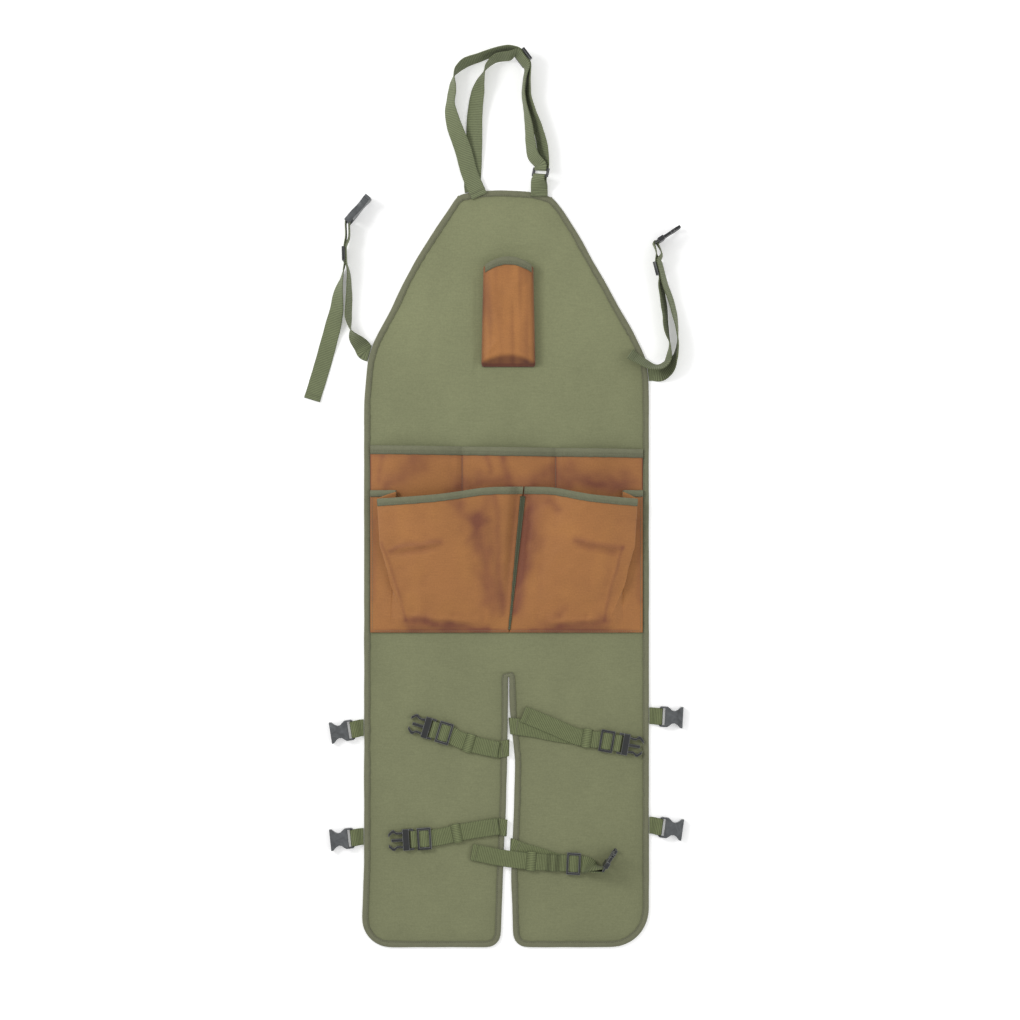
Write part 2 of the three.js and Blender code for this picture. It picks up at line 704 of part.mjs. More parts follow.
function buildMale(name, where, length) {
  const half = buckleWidth / 2;
  const inner = webbingWidth / 2 + clearance + 0.3;
  const bodyEnd = bayLength + 8;
  const armWay = length - barRadius - bodyEnd;
  const armEdge = armRows.map(([way, wide]) => [bodyEnd - 1 + way * (armWay + 1), wide * half]);
  const armInner = armRows.slice().reverse()
    .map(([way, wide]) => [bodyEnd - 1 + way * (armWay + 1), wide * half - (way < 0.5 ? 3.2 : 4.6)]);
  const armShape = (sign) => {
    const corners = [...armEdge, ...armInner].map(([x, y]) => new THREE.Vector2(x, y * sign));
    const ordered = sign > 0 ? corners : corners.reverse();
    const arm = new THREE.ExtrudeGeometry(new THREE.Shape(ordered), { depth: prongThickness, bevelEnabled: false });
    return solidOf(arm.translate(0, 0, -prongThickness / 2));
  };
  const solid = block(bayLength - 1.5, bodyEnd, -half, half, -maleThickness / 2, maleThickness / 2)
    .add(block(0, bayLength, -half, -inner, -barRadius, barRadius))
    .add(block(0, bayLength, inner, half, -barRadius, barRadius))
    .add(bar(0, 0, buckleWidth))
    .add(block(bodyEnd - 1, bodyEnd + armWay * 0.8, -2.2, 2.2, -prongThickness / 2, prongThickness / 2))
    .add(armShape(1))
    .add(armShape(-1));
  addPiece(name, place(geometryOf(solid), where), plastic);
}

// Band that keeps the strap's layers together
function buildKeeper(name, where, layers) {
  const inner = webbingWidth / 2 + 2 * clearance;
  const deep = (layers * webbingThickness + (layers - 1) * clearance) / 2 + clearance;
  const shape = new THREE.Shape([[-1, -1], [1, -1], [1, 1], [-1, 1]]
    .map(([a, b]) => new THREE.Vector2(a * (inner + keeperThickness), b * (deep + keeperThickness))));
  shape.holes.push(new THREE.Path([[-1, -1], [-1, 1], [1, 1], [1, -1]]
    .map(([a, b]) => new THREE.Vector2(a * inner, b * deep))));
  const band = new THREE.ExtrudeGeometry(shape, { depth: keeperLength, bevelEnabled: false });
  band.translate(0, 0, -keeperLength / 2).rotateY(Math.PI / 2).rotateX(Math.PI / 2);
  addPiece(name, place(band, where), webbing);
}

// Neck loop, in shares of its width from the middle of the apron and of its height above the bib
// columns: across, up, roll, lift
const neckRise = [
  [-0.356, 0.16, 3, 0], [-0.346, 0.36, 12, 0], [-0.338, 0.538, 22, 0], [-0.306, 0.695, 38, 0],
  [-0.255, 0.813, 74, 0], [-0.209, 0.877, 97, 0], [-0.109, 0.931, 114, 2.4], [0.025, 0.944, 116, 5.8],
];
const neckInner = [
  [0.195, 0.79, 100, 3], [0.18, 0.68, 98, 0], [0.204, 0.574, 102, 0], [0.23, 0.49, 112, 0],
  [0.256, 0.34, 124, 0], [0.282, 0.24, 130, 3.2],
];
const neckOuter = [
  [0.392, 0.215, 48, 0], [0.386, 0.29, 51, 0], [0.352, 0.395, 57, 0], [0.308, 0.488, 62, 0],
  [0.263, 0.574, 66, 0], [0.228, 0.68, 70, 0], [0.232, 0.78, 76, 3],
];
const neckTail = [
  [0.025, 0.99, 68, 5], [-0.155, 0.968, 68, 2], [-0.286, 0.938, 69, 0], [-0.437, 0.902, 63, 0],
  [-0.526, 0.854, 74, 0], [-0.5625, 0.809, 92, 0], [-0.574, 0.75, 112, 0], [-0.582, 0.683, 122, 0],
  [-0.6, 0.62, 120, 0], [-0.59, 0.541, 138, 0], [-0.568, 0.474, 150, 1], [-0.53, 0.402, 162, 3.5],
  [-0.466, 0.288, 173, 4.6], [-0.391, 0.109, 180, 4.6], [-0.29, -0.045, 180, 4.6],
];

function neckRows(rows) {
  return rows.map(([x, y, roll, lift]) => [x * neckLoopWidth, apronLength + y * neckLoopHeight, roll, lift]);
}

function buildNeck() {
  const standing = 3 * clearance + hardwareWidth / 2;
  const sliderSeat = seat(0.171 * neckLoopWidth, apronLength + 0.927 * neckLoopHeight, standing, 0.6, -0.8, 115);
  const ringSeat = seat(0.365 * neckLoopWidth, apronLength + 0.12 * neckLoopHeight, standing * 0.78, -0.2, -0.98, 135);
  const reach = ringLength / 2 - barRadius;
  const upperBar = { ...ringSeat, point: onSeat(ringSeat, -reach, 0).point };
  const topAt = (x) => apronLength - lookUp(topRows, x / halfWidth, 1) * bibHeight;
  const lean = topAt(neckStrapStart + webbingWidth / 2) - topAt(neckStrapStart - webbingWidth / 2);
  const outward = new THREE.Vector2(-lean, webbingWidth).normalize();
  addPiece('neck_strap', strapGeometry([
    ...sewnEnd(neckStrapStart, topAt(neckStrapStart) + 2 * clearance, outward),
    ...freeStops(neckRows(neckRise)),
    ...firstPass(sliderSeat),
    ...freeStops(neckRows(neckInner)),
    ...wrap(upperBar),
    ...freeStops(neckRows(neckOuter)),
    ...secondPass(sliderSeat),
    ...freeStops(neckRows(neckTail)),
  ]), webbing);
  buildSlider('neck_slider', sliderSeat);
  buildRing('neck_ring', ringSeat);

  // Short tab: both ends sewn on the bib, folded round the ring's lower bar
  const lowerBar = seat(0, 0, 0, 0.2, 0.98, 45);
  lowerBar.point = onSeat(ringSeat, reach, 0).point;
  const endY = apronLength - 10;
  const level = bindingTop + clearance + webbingThickness / 2;
  const flat = new THREE.Vector3(-1, 0, 0);
  const under = new THREE.Vector3(neckTabEnd, endY, level);
  const over = new THREE.Vector3(neckTabEnd, endY, level + pairGap);
  addPiece('neck_tab', strapGeometry([
    { point: under, across: flat },
    { point: under.clone().add(new THREE.Vector3(0, 10, 0)), across: flat },
    ...wrap(lowerBar),
    { point: over.clone().add(new THREE.Vector3(0, 10, 0)), across: flat },
    { point: over, across: flat },
  ]), webbing);
}

// Sewn end of a strap: flat, square to the edge behind which it starts
function sewnEnd(x, y, outward, length = 7) {
  const across = new THREE.Vector3(-outward.y, outward.x, 0);
  const low = clearance + webbingThickness / 2;
  return [2 * clearance, length].map((away) => ({
    point: new THREE.Vector3(x + outward.x * away, y + outward.y * away, low), across, firm: true,
  }));
}

// Waist straps, in shares of their reach from the point where each is sewn
// columns: across, up, roll, lift
const waistLeftInner = [
  [-0.063, 0.056, 14, 0], [-0.125, 0.13, 48, 0], [-0.158, 0.2, 90, 0], [-0.176, 0.3, 112, 0],
  [-0.171, 0.426, 110, 0], [-0.17, 0.556, 103, 0], [-0.174, 0.672, 95, 2],
];
const waistLeftLoop = [[-0.168, 0.95, 90, 4]];
const waistLeftBack = [[-0.192, 0.97, 90, 4]];
const waistLeftTail = [
  [-0.212, 0.7, 92, 2], [-0.224, 0.639, 100, 0], [-0.246, 0.564, 114, 0], [-0.262, 0.48, 130, 0],
  [-0.274, 0.364, 148, 0], [-0.303, 0.239, 166, 0], [-0.354, 0.047, 178, 0], [-0.408, -0.144, 180, 0],
  [-0.4825, -0.386, 180, 0],
];
const waistRightInner = [
  [0.101, -0.004, 6, 0], [0.172, 0.042, 35, 0], [0.222, 0.121, 72, 0], [0.2456, 0.233, 90, 0],
  [0.243, 0.342, 98, 0], [0.222, 0.475, 110, 0], [0.187, 0.61, 114, 0], [0.145, 0.72, 113, 2],
];
const waistRightLoop = [[0.115, 0.975, 98, 4]];
const waistRightBack = [[0.07, 0.985, 86, 4]];
const waistRightTail = [
  [0.108, 0.735, 68, 2], [0.122, 0.633, 66, 0], [0.14, 0.5, 68, 0], [0.153, 0.35, 71, 0],
  [0.18, 0.246, 86, 0], [0.173, 0.15, 104, 1], [0.155, 0.085, 108, 6], [0.101, 0.046, 109, 6.5],
  [0.044, 0.046, 111, 6], [-0.036, 0.08, 124, 5], [-0.109, 0.128, 130, 5], [-0.153, 0.156, 132, 5],
];

function buildWaist(side, sign, startY, tables, places) {
  const start = sidePoint(startY, sign);
  const shift = (rows) => rows.map(([x, y, roll, lift]) => [
    start.x + x * waistReach, start.y + y * waistReach, roll, lift]);
  const standing = 3 * clearance + hardwareWidth / 2;
  const seatAt = ([x, y, headingX, headingY, roll]) => (
    seat(start.x + x * waistReach, start.y + y * waistReach, standing, headingX, headingY, roll));
  const sliderSeat = seatAt(places.slider);
  const barSeat = seatAt(places.bar);
  addPiece(`waist_strap_${side}`, strapGeometry([
    ...sewnEnd(start.x, start.y, start.outward),
    ...freeStops(shift(tables.inner)),
    ...firstPass(sliderSeat),
    ...freeStops(shift(tables.loop)),
    ...wrap(barSeat),
    ...freeStops(shift(tables.back)),
    ...secondPass(sliderSeat),
    ...freeStops(shift(tables.tail)),
  ]), webbing);
  buildSlider(`waist_slider_${side}`, sliderSeat);
  return seatAt([places.bar[0], places.bar[1], ...places.buckleHeading, 90]);
}

function buildWaistStraps() {
  const left = buildWaist('left', -1, waistLeftStart, {
    inner: waistLeftInner, loop: waistLeftLoop, back: waistLeftBack, tail: waistLeftTail,
  }, { slider: [-0.1986, 0.819, -0.03, 1, 90], bar: [-0.179, 1.089, 0.1, 0.99, 90], buckleHeading: [0.65, 0.76] });
  buildFemale('waist_buckle_female', left, waistFemaleLength);
  const right = buildWaist('right', 1, waistRightStart, {
    inner: waistRightInner, loop: waistRightLoop, back: waistRightBack, tail: waistRightTail,
  }, { slider: [0.1, 0.865, -0.25, 0.97, 112], bar: [0.056, 1.071, -0.5, 0.87, 90], buckleHeading: [0.836, 0.548] });
  buildMale('waist_buckle_male', right, waistMaleLength);
}

// Stubs at the outer edges of the legs, each with a female buckle
// columns: name, side, height, turn down in degrees
const stubRows = [
  ['upper_left', -1, 329, 9],
  ['lower_left', -1, 166, 6],
  ['upper_right', 1, 347, -3],
  ['lower_right', 1, 183, -8],
];

function buildStubs() {
  stubRows.forEach(([name, sign, startY, turn]) => {
    const start = sidePoint(startY, sign);
    const angle = THREE.MathUtils.degToRad(turn);
    const barZ = clearance + femaleThickness / 2;
    const heading = [sign * Math.cos(angle), Math.sin(angle) * (sign < 0 ? -1 : 1)];
    const reach = stubLength + barRadius;
    const edgeX = start.x + sign * 2 * clearance;
    const barSeat = seat(edgeX + heading[0] * reach, start.y + heading[1] * reach, barZ, ...heading, 0);
    const across = new THREE.Vector3(0, sign, 0);
    const low = clearance + webbingThickness / 2;
    const foot = (z, away) => ({ point: new THREE.Vector3(edgeX + sign * away, start.y, z), across });
    addPiece(`leg_stub_${name}`, strapGeometry([
      foot(low, 0), foot(low, 4), ...wrap(barSeat), foot(low + pairGap, 4), foot(low + pairGap, 0),
    ]), webbing);
    buildFemale(`leg_buckle_female_${name}`, barSeat, legFemaleLength);
  });
}

// Leg straps: from the slit's edge the strap folds back over its leg
// columns: away from the slit and up, both in shares of the strap's reach
const legStraps = [
  {
    name: 'upper_left', sign: -1, startY: upperLeftStart, reach: upperLeftReach,
    base: [[0.12, -0.022], [0.33, 0.02]], keeper: [0.515, 0.068], near: [0.68, 0.13],
    slider: [0.85, 0.205], bar: [1, 0.25], tail: [[0.33, 0.02], [0.12, -0.022]],
  },
  {
    name: 'upper_right', sign: 1, startY: upperRightStart, reach: upperRightReach,
    base: [[0.2, -0.028], [0.4, -0.068], [0.62, -0.101]], keeper: [0.7, -0.114], near: [0.78, -0.126],
    slider: [0.887, -0.14], bar: [1, -0.16], tail: [[0.62, -0.101], [0.38, 0.0], [0.108, 0.112]],
  },
  {
    name: 'lower_left', sign: -1, startY: lowerLeftStart, reach: lowerLeftReach,
    base: [[0.07, 0.02], [0.28, -0.01]], keeper: [0.525, -0.054], near: [0.71, -0.095],
    slider: [0.876, -0.112], bar: [1, -0.12], tail: [[0.28, -0.01], [0.07, 0.02]],
  },
];

function legFold(startY, sign) {
  const column = sign < 0 ? 1 : 2;
  const half = webbingWidth / 2;
  const [above, below] = [startY + half, startY - half].map((y) => slitEdge(y, column));
  const outward = new THREE.Vector3(-sign * webbingWidth, sign * (above - below), 0).normalize();
  const across = new THREE.Vector3(outward.y, -outward.x, 0);
  const low = clearance + webbingThickness / 2;
  const radius = (lowerLayer - low) / 2;
  const foot = new THREE.Vector3((above + below) / 2, startY, low);
  const steps = 5;
  const turn = Array.from({ length: steps + 1 }, (_, i) => {
    const angle = (Math.PI * i) / steps;
    const away = 3.5 * clearance + 0.6 * radius * Math.sin(angle);
    return foot.clone().addScaledVector(outward, away).setZ(low + radius - radius * Math.cos(angle));
  });
  return [foot.clone().addScaledVector(outward, 2.5 * clearance), ...turn]
    .map((point) => ({ point, across, firm: true }));
}

function buildLegStraps() {
  const flat = (x, y, z, roll = 0) => ({ point: new THREE.Vector3(x, y, z), roll });
  legStraps.forEach((strap) => {
    const { sign, reach } = strap;
    const startX = slitEdge(strap.startY, sign < 0 ? 1 : 2);
    const at = ([away, rise]) => [startX + sign * away * reach, strap.startY + rise * reach];
    const heading = [sign * (strap.bar[0] - strap.slider[0]), strap.bar[1] - strap.slider[1]];
    const middle = (lowerLayer + upperLayer) / 2;
    const sliderSeat = seat(...at(strap.slider), middle, ...heading, 0);
    const barZ = keeperBase + clearance + maleThickness / 2;
    const barSeat = seat(...at(strap.bar), barZ, ...heading, 0);
    const keeperSeat = seat(...at(strap.keeper), middle, ...heading, 0);
    const lead = [at(strap.keeper), at(strap.near)];
    addPiece(`leg_strap_${strap.name}`, strapGeometry([
      ...legFold(strap.startY, sign),
      ...strap.base.map((row) => flat(...at(row), lowerLayer)),
      ...lead.map(([x, y]) => flat(x, y, lowerLayer)),
      ...firstPass(sliderSeat),
      ...wrap(barSeat, 1.5),
      ...secondPass(sliderSeat),
      ...lead.slice().reverse().map(([x, y]) => flat(x, y, upperLayer, 180)),
      ...strap.tail.map((row) => flat(...at(row), upperLayer, 180)),
    ]), webbing);
    const previous = at(strap.near);
    const before = at(strap.base.at(-1));
    keeperSeat.travel.set(previous[0] - before[0], previous[1] - before[1], 0).normalize();
    keeperSeat.across.copy(rollVector(keeperSeat.travel, 0));
    buildKeeper(`leg_keeper_${strap.name}`, keeperSeat, 2);
    buildSlider(`leg_slider_${strap.name}`, sliderSeat);
    buildMale(`leg_buckle_male_${strap.name}`, barSeat, legMaleLength);
  });
}

// The lower right strap twists on edge at its buckle, and its tail lies across the slit
function buildLowerRightStrap() {
  const reach = lowerRightReach;
  const startX = slitEdge(lowerRightStart, 2);
  const at = (away, rise) => [startX + away * reach, lowerRightStart + rise * reach];
  const middle = (lowerLayer + upperLayer) / 2;
  const sliderSeat = seat(...at(0.68, -0.185), middle, 1, -0.05, 0);
  const standing = keeperBase + clearance + buckleWidth / 2;
  const barSeat = seat(...at(1, -0.24), standing, 1, -0.1, 90);
  const buckleSeat = { ...seat(0, 0, 0, 0.56, 0.83, 90), point: barSeat.point };
  const tailLayer = upperLayer + keeperThickness + clearance;
  const keeperSeat = seat(...at(0.21, -0.158), tailLayer, 1, -0.08, 0);
  const stop = (away, rise, z, roll) => ({ point: new THREE.Vector3(...at(away, rise), z), roll });
  const twist = [stop(0.82, -0.2, middle + 3, 25), stop(0.9, -0.22, standing - 1, 70)];
  const twistOut = (item, gap) => {
    const across = rollVector(new THREE.Vector3(1, -0.15, 0), item.roll);
    const out = new THREE.Vector3(1, -0.15, 0).normalize().cross(across);
    return { point: item.point.clone().addScaledVector(out, gap), across };
  };
  addPiece('leg_strap_lower_right', strapGeometry([
    ...legFold(lowerRightStart, 1),
    stop(0.12, -0.05, lowerLayer, 0),
    stop(0.3, -0.1, lowerLayer, 0),
    stop(0.48, -0.16, lowerLayer, 0),
    ...firstPass(sliderSeat),
    ...twist.map((item) => twistOut(item, -wrapRadius * 0.7)),
    ...wrap(barSeat),
    ...twist.slice().reverse().map((item) => twistOut(item, wrapRadius * 0.7)),
    ...secondPass(sliderSeat),
    stop(0.535, -0.178, upperLayer, 180),
    stop(0.45, -0.173, upperLayer + 5, 180),
    stop(0.37, -0.17, upperLayer, 180),
    stop(0.29, -0.1645, tailLayer, 180),
    stop(0.13, -0.1515, tailLayer, 180),
    stop(-0.12, -0.12, upperLayer, 180),
    stop(-0.45, -0.055, upperLayer, 180),
  ]), webbing);
  buildKeeper('leg_keeper_lower_right', keeperSeat, 1);
  buildSlider('leg_slider_lower_right', sliderSeat);
  buildMale('leg_buckle_male_lower_right', buckleSeat, legMaleLength);
}

buildPanel();
buildRearPocket();
buildFrontPocket('front_pocket_left', -1);
buildFrontPocket('front_pocket_right', 1);
buildSeamTape();
buildChestPocket();
buildNeck();
buildWaistStraps();
buildStubs();
buildLegStraps();
buildLowerRightStrap();

// The origin is at the middle of the apron's box, on the surface that it lies on
const box = new THREE.Box3().setFromObject(apron, true);
const centre = box.getCenter(new THREE.Vector3());
apron.position.set(-centre.x, -centre.y, -box.min.z);

export default apron;
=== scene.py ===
import math
import bmesh
import bpy
import numpy as np
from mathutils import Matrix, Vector


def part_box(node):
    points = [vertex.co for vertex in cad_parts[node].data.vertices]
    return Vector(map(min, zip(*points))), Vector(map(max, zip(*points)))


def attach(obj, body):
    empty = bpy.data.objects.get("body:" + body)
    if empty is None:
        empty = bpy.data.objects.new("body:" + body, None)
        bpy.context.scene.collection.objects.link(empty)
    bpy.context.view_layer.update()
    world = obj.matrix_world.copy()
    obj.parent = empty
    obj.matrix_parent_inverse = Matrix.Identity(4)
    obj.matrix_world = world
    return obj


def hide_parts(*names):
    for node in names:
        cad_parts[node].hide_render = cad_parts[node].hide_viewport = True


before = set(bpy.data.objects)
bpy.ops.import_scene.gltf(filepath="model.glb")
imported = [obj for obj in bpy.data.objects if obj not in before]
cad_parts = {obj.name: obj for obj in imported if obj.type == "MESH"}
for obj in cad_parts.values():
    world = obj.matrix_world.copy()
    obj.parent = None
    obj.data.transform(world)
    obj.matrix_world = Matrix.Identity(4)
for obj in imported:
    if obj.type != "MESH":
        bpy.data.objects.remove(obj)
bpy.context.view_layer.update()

scene = bpy.context.scene

# ---------------------------------------------------------------- camera, light and floor
# The apron lies on a plain pale floor and is seen from straight above, in even soft light.
# The tables below are in millimetres from the hem's middle; ORIGIN moves them to the frame.
PANEL_LEFT = -215.2
PANEL_HEM = 1.3
apron_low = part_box("main_panel")[0]
ORIGIN = np.array([apron_low[0] * 1000.0 - PANEL_LEFT, apron_low[1] * 1000.0 - PANEL_HEM, 0.0])

FOCAL_LENGTH = 85.0
SENSOR_WIDTH = 36.0
SEEN_WIDTH = 1.530
scene.view_settings.view_transform = "Standard"
camera = bpy.data.objects.new("camera", bpy.data.cameras.new("camera"))
camera.data.lens = FOCAL_LENGTH
camera.data.sensor_width = SENSOR_WIDTH
camera.location = (0.02413, -0.01874, SEEN_WIDTH * FOCAL_LENGTH / SENSOR_WIDTH)
camera.data.clip_end = 20.0
scene.collection.objects.link(camera)
scene.camera = camera

world = bpy.data.worlds.new("studio")
scene.world = world
world.use_nodes = True
world.node_tree.nodes["Background"].inputs["Color"].default_value = (1.0, 1.0, 1.0, 1.0)
world.node_tree.nodes["Background"].inputs["Strength"].default_value = 0.66


def soft_light(name, place, aim, size, power):
    """Square area light of a size in metres, at a place and aimed at a point."""
    lamp = bpy.data.lights.new(name, "AREA")
    lamp.size = size
    lamp.energy = power
    holder = bpy.data.objects.new(name, lamp)
    holder.location = place
    holder.rotation_euler = (Vector(aim) - Vector(place)).to_track_quat("-Z", "Y").to_euler()
    scene.collection.objects.link(holder)


soft_light("left_light", (-1.7, 0.9, 1.7), (0.0, 0.1, 0.0), 0.9, 26.0)
soft_light("right_light", (1.9, -0.3, 1.9), (0.0, 0.0, 0.0), 1.4, 10.0)

FLOOR_REACH = 6.0
FLOOR_LEVEL = -0.0006
floor = bpy.data.objects.new("floor", bpy.data.meshes.new("floor"))
floor_corners = [(x * FLOOR_REACH, y * FLOOR_REACH, FLOOR_LEVEL)
                 for x, y in ((-1, -1), (1, -1), (1, 1), (-1, 1))]
floor.data.from_pydata(floor_corners, [], [(0, 1, 2, 3)])
paper = bpy.data.materials.new("paper")
paper.use_nodes = True
paper_shader = paper.node_tree.nodes["Principled BSDF"].inputs
paper_shader["Base Color"].default_value = (0.98, 0.98, 0.98, 1.0)
paper_shader["Roughness"].default_value = 0.95
paper_shader["Emission Color"].default_value = (1.0, 1.0, 1.0, 1.0)
paper_shader["Emission Strength"].default_value = 0.24
floor.data.materials.append(paper)
scene.collection.objects.link(floor)

# ---------------------------------------------------------------- main panel
# One long panel of coated canvas: a bib that narrows to the neck, a straight body, and two
# legs either side of a slit. It carries everything else, and its whole edge is bound.
HALF = 213.5
LENGTH = 1135.0
BIB = 300.0
SLIT_LENGTH = 409.0
SLIT_WIDTH = 18.0
HEM_FLARE = 3.0
FLARE_TOP = 126.0
LEFT_CORNER = 42.0
RIGHT_CORNER = 57.0
SLIT_CORNER = 20.0
OUTLINE_STEP = 2.4
PANEL_THICKNESS = 1.5
PANEL_TOP = 2.9
# columns: drop below the top (share of bib height), left and right half width (share of HALF)
BIB_ROWS = np.array([
    (0.045, 0.36, 0.335), (0.108, 0.418, 0.404), (0.228, 0.53, 0.509), (0.348, 0.636, 0.601),
    (0.468, 0.727, 0.699), (0.588, 0.804, 0.79), (0.708, 0.896, 0.889), (0.768, 0.938, 0.931),
    (0.848, 0.973, 0.98), (0.948, 0.987, 0.997), (1.05, 1.0, 1.0)])
# columns: place across (share of HALF), drop below the top (share of bib height)
TOP_ROWS = np.array([(-0.33, 0.023), (-0.19, 0.006), (-0.05, 0.0), (0.165, 0.008), (0.3, 0.03)])
# columns: way down the slit (share of its length), left and right edge (share of its width)
SLIT_ROWS = np.array([
    (0.0, 0.13, 0.21), (0.06, 0.125, 0.235), (0.14, 0.12, 0.29), (0.315, 0.04, 0.71),
    (0.48, -0.04, 0.63), (0.726, -0.29, 0.38), (0.94, -0.46, 0.54)])


def smooth(x, low, high):
    """Smooth step: 3t^2 - 2t^3 of the share t of x between low and high."""
    t = np.clip((x - low) / (high - low), 0.0, 1.0)
    return t * t * (3.0 - 2.0 * t)


def outline_points():
    """Edge of the apron, anticlockwise, as straight stretches between the tables' rows and
    quarter circles x = c + r cos a, y = c + r sin a at the four corners of the hem."""
    def arc(cx, cy, radius, start):
        a = start + np.linspace(0.0, np.pi / 2, 9)[::-1]
        return np.stack([cx + radius * np.cos(a), cy + radius * np.sin(a)], 1)

    hem = -HALF - HEM_FLARE
    left_slit, right_slit = SLIT_ROWS[-1, 1] * SLIT_WIDTH, SLIT_ROWS[-1, 2] * SLIT_WIDTH
    down = SLIT_ROWS[:-1]
    stretches = [
        np.stack([down[:, 1] * SLIT_WIDTH, SLIT_LENGTH * (1 - down[:, 0])], 1),
        arc(left_slit - SLIT_CORNER, SLIT_CORNER, SLIT_CORNER, -np.pi / 2),
        arc(hem + LEFT_CORNER, LEFT_CORNER, LEFT_CORNER, np.pi),
        np.array([[-HALF, FLARE_TOP]]),
        np.stack([-BIB_ROWS[::-1, 1] * HALF, LENGTH - BIB_ROWS[::-1, 0] * BIB], 1),
        np.stack([TOP_ROWS[:, 0] * HALF, LENGTH - TOP_ROWS[:, 1] * BIB], 1),
        np.stack([BIB_ROWS[:, 2] * HALF, LENGTH - BIB_ROWS[:, 0] * BIB], 1),
        arc(HALF - RIGHT_CORNER, RIGHT_CORNER, RIGHT_CORNER, -np.pi / 2),
        arc(right_slit + SLIT_CORNER, SLIT_CORNER, SLIT_CORNER, np.pi),
        np.stack([down[::-1, 2] * SLIT_WIDTH, SLIT_LENGTH * (1 - down[::-1, 0])], 1)]
    return np.concatenate(stretches)[::-1]


def distances(points):
    """Distance of each point of a polyline from its first, along the line."""
    return np.concatenate([[0.0], np.cumsum(np.linalg.norm(np.diff(points, axis=0), axis=1))])


def columns_at(at, lengths, points):
    """Points at given distances along a polyline whose own points lie at other distances."""
    return np.stack([np.interp(at, lengths, column) for column in points.T], 1)


def resample(points, step, closed=False):
    """Points an even step apart along a polyline, by arc length, with their distances."""
    path = np.concatenate([points, points[:1]]) if closed else points
    lengths = distances(path)
    at = np.linspace(0.0, lengths[-1], max(2, int(round(lengths[-1] / step))) + 1)
    at = at[:-1] if closed else at
    return columns_at(at, lengths, path), at


def soften(points, times):
    """Closed ring of points, each moved to (before + 2 * itself + after) / 4, several times."""
    for _ in range(times):
        points = (np.roll(points, 1, 0) + 2.0 * points + np.roll(points, -1, 0)) / 4.0
    return points


def waves(x, y, seed, length, count=14):
    """Sum of sine waves of random directions and phases about one wavelength, scaled to +-1."""
    rng = np.random.default_rng(seed)
    turn = rng.uniform(0.0, np.pi, count)
    number = 2.0 * np.pi / (length * rng.uniform(0.7, 1.6, count))
    phase = rng.uniform(0.0, 2.0 * np.pi, count)
    way = x[..., None] * np.cos(turn) + y[..., None] * np.sin(turn)
    return np.sin(way * number + phase).sum(-1) / (1.6 * math.sqrt(count))


def fold(x, y, start, end, width, height):
    """Ridge along a line between two points: height * exp(-(d / width)^2), faded at its ends."""
    start, end = np.array(start), np.array(end)
    run = end - start
    size = np.linalg.norm(run)
    along = ((x - start[0]) * run[0] + (y - start[1]) * run[1]) / size
    off = ((x - start[0]) * run[1] - (y - start[1]) * run[0]) / size
    fade = smooth(along, -0.15 * size, 0.25 * size) * (1.0 - smooth(along, 0.75 * size, 1.15 * size))
    return height * np.exp(-(off / width) ** 2) * fade


def folds(x, y, rows):
    """Sum of ridges, each given by its two ends, width and height."""
    return sum(fold(x, y, *row) for row in rows)


def new_piece(name, points, faces):
    """Smooth mesh object of points in millimetres and faces."""
    mesh = bpy.data.meshes.new(name)
    mesh.from_pydata(((points.reshape(-1, 3) + ORIGIN) / 1000.0).tolist(), [], faces)
    mesh.update()
    mesh.shade_smooth()
    piece = bpy.data.objects.new(name, mesh)
    scene.collection.objects.link(piece)
    return piece


def piece_from_grid(name, grid, uv=None, ring=False, skip=None, extra=None):
    """Mesh of four-sided faces over a grid of points in millimetres, rows by columns. With
    ring the last column meets the first. skip marks faces left out, and extra adds faces."""
    rows, columns = grid.shape[:2]
    index = np.arange(rows * columns).reshape(rows, columns)
    after = np.roll(index, -1, 1) if ring else index[:, 1:]
    here = index if ring else index[:, :-1]
    faces = np.stack([here[:-1], after[:-1], after[1:], here[1:]], -1)
    if skip is not None:
        faces = faces[~skip]
    piece = new_piece(name, grid, faces.reshape(-1, 4).tolist() + (extra or []))
    if uv is not None:
        layer = piece.data.uv_layers.new(name="UVMap")
        corner = np.zeros(len(piece.data.loops), dtype=np.int32)
        piece.data.loops.foreach_get("vertex_index", corner)
        layer.data.foreach_set("uv", (uv.reshape(-1, 2)[corner] / 1000.0).astype(np.float32).ravel())
    return piece


def thicken(piece, thickness, offset):
    """Gives a sheet its thickness in millimetres."""
    wall = piece.modifiers.new("thickness", "SOLIDIFY")
    wall.thickness = thickness / 1000.0
    wall.offset = offset


def close_doubles(piece):
    """Merges points that lie on each other, as where a closed band meets itself."""
    shape = bmesh.new()
    shape.from_mesh(piece.data)
    bmesh.ops.remove_doubles(shape, verts=shape.verts, dist=0.000001)
    shape.to_mesh(piece.data)
    shape.free()
    return piece


def finish_piece(piece, material, slot_name, *nodes):
    """Dresses a piece, puts it on the frame and lets it stand for its CAD nodes."""
    piece.data.materials.append(material)
    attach(piece, "root")
    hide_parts(*nodes)
    return piece


def add_node(tree, kind, inputs=None, **properties):
    """New shader node. Its properties are set, and each input is linked or given its value."""
    made = tree.nodes.new("ShaderNode" + kind)
    for name, value in properties.items():
        setattr(made, name, value)
    for name, value in (inputs or {}).items():
        if isinstance(value, bpy.types.NodeSocket):
            tree.links.new(value, made.inputs[name])
        else:
            made.inputs[name].default_value = value
    return made


def math_node(tree, operation, *values):
    """Output of a math node on sockets or numbers."""
    return add_node(tree, "Math", dict(enumerate(values)), operation=operation).outputs[0]


def noise(tree, place, scale, detail, **more):
    """Value of a noise texture at a place."""
    inputs = {"Vector": place, "Scale": scale, "Detail": detail, **more}
    return add_node(tree, "TexNoise", inputs).outputs[0]


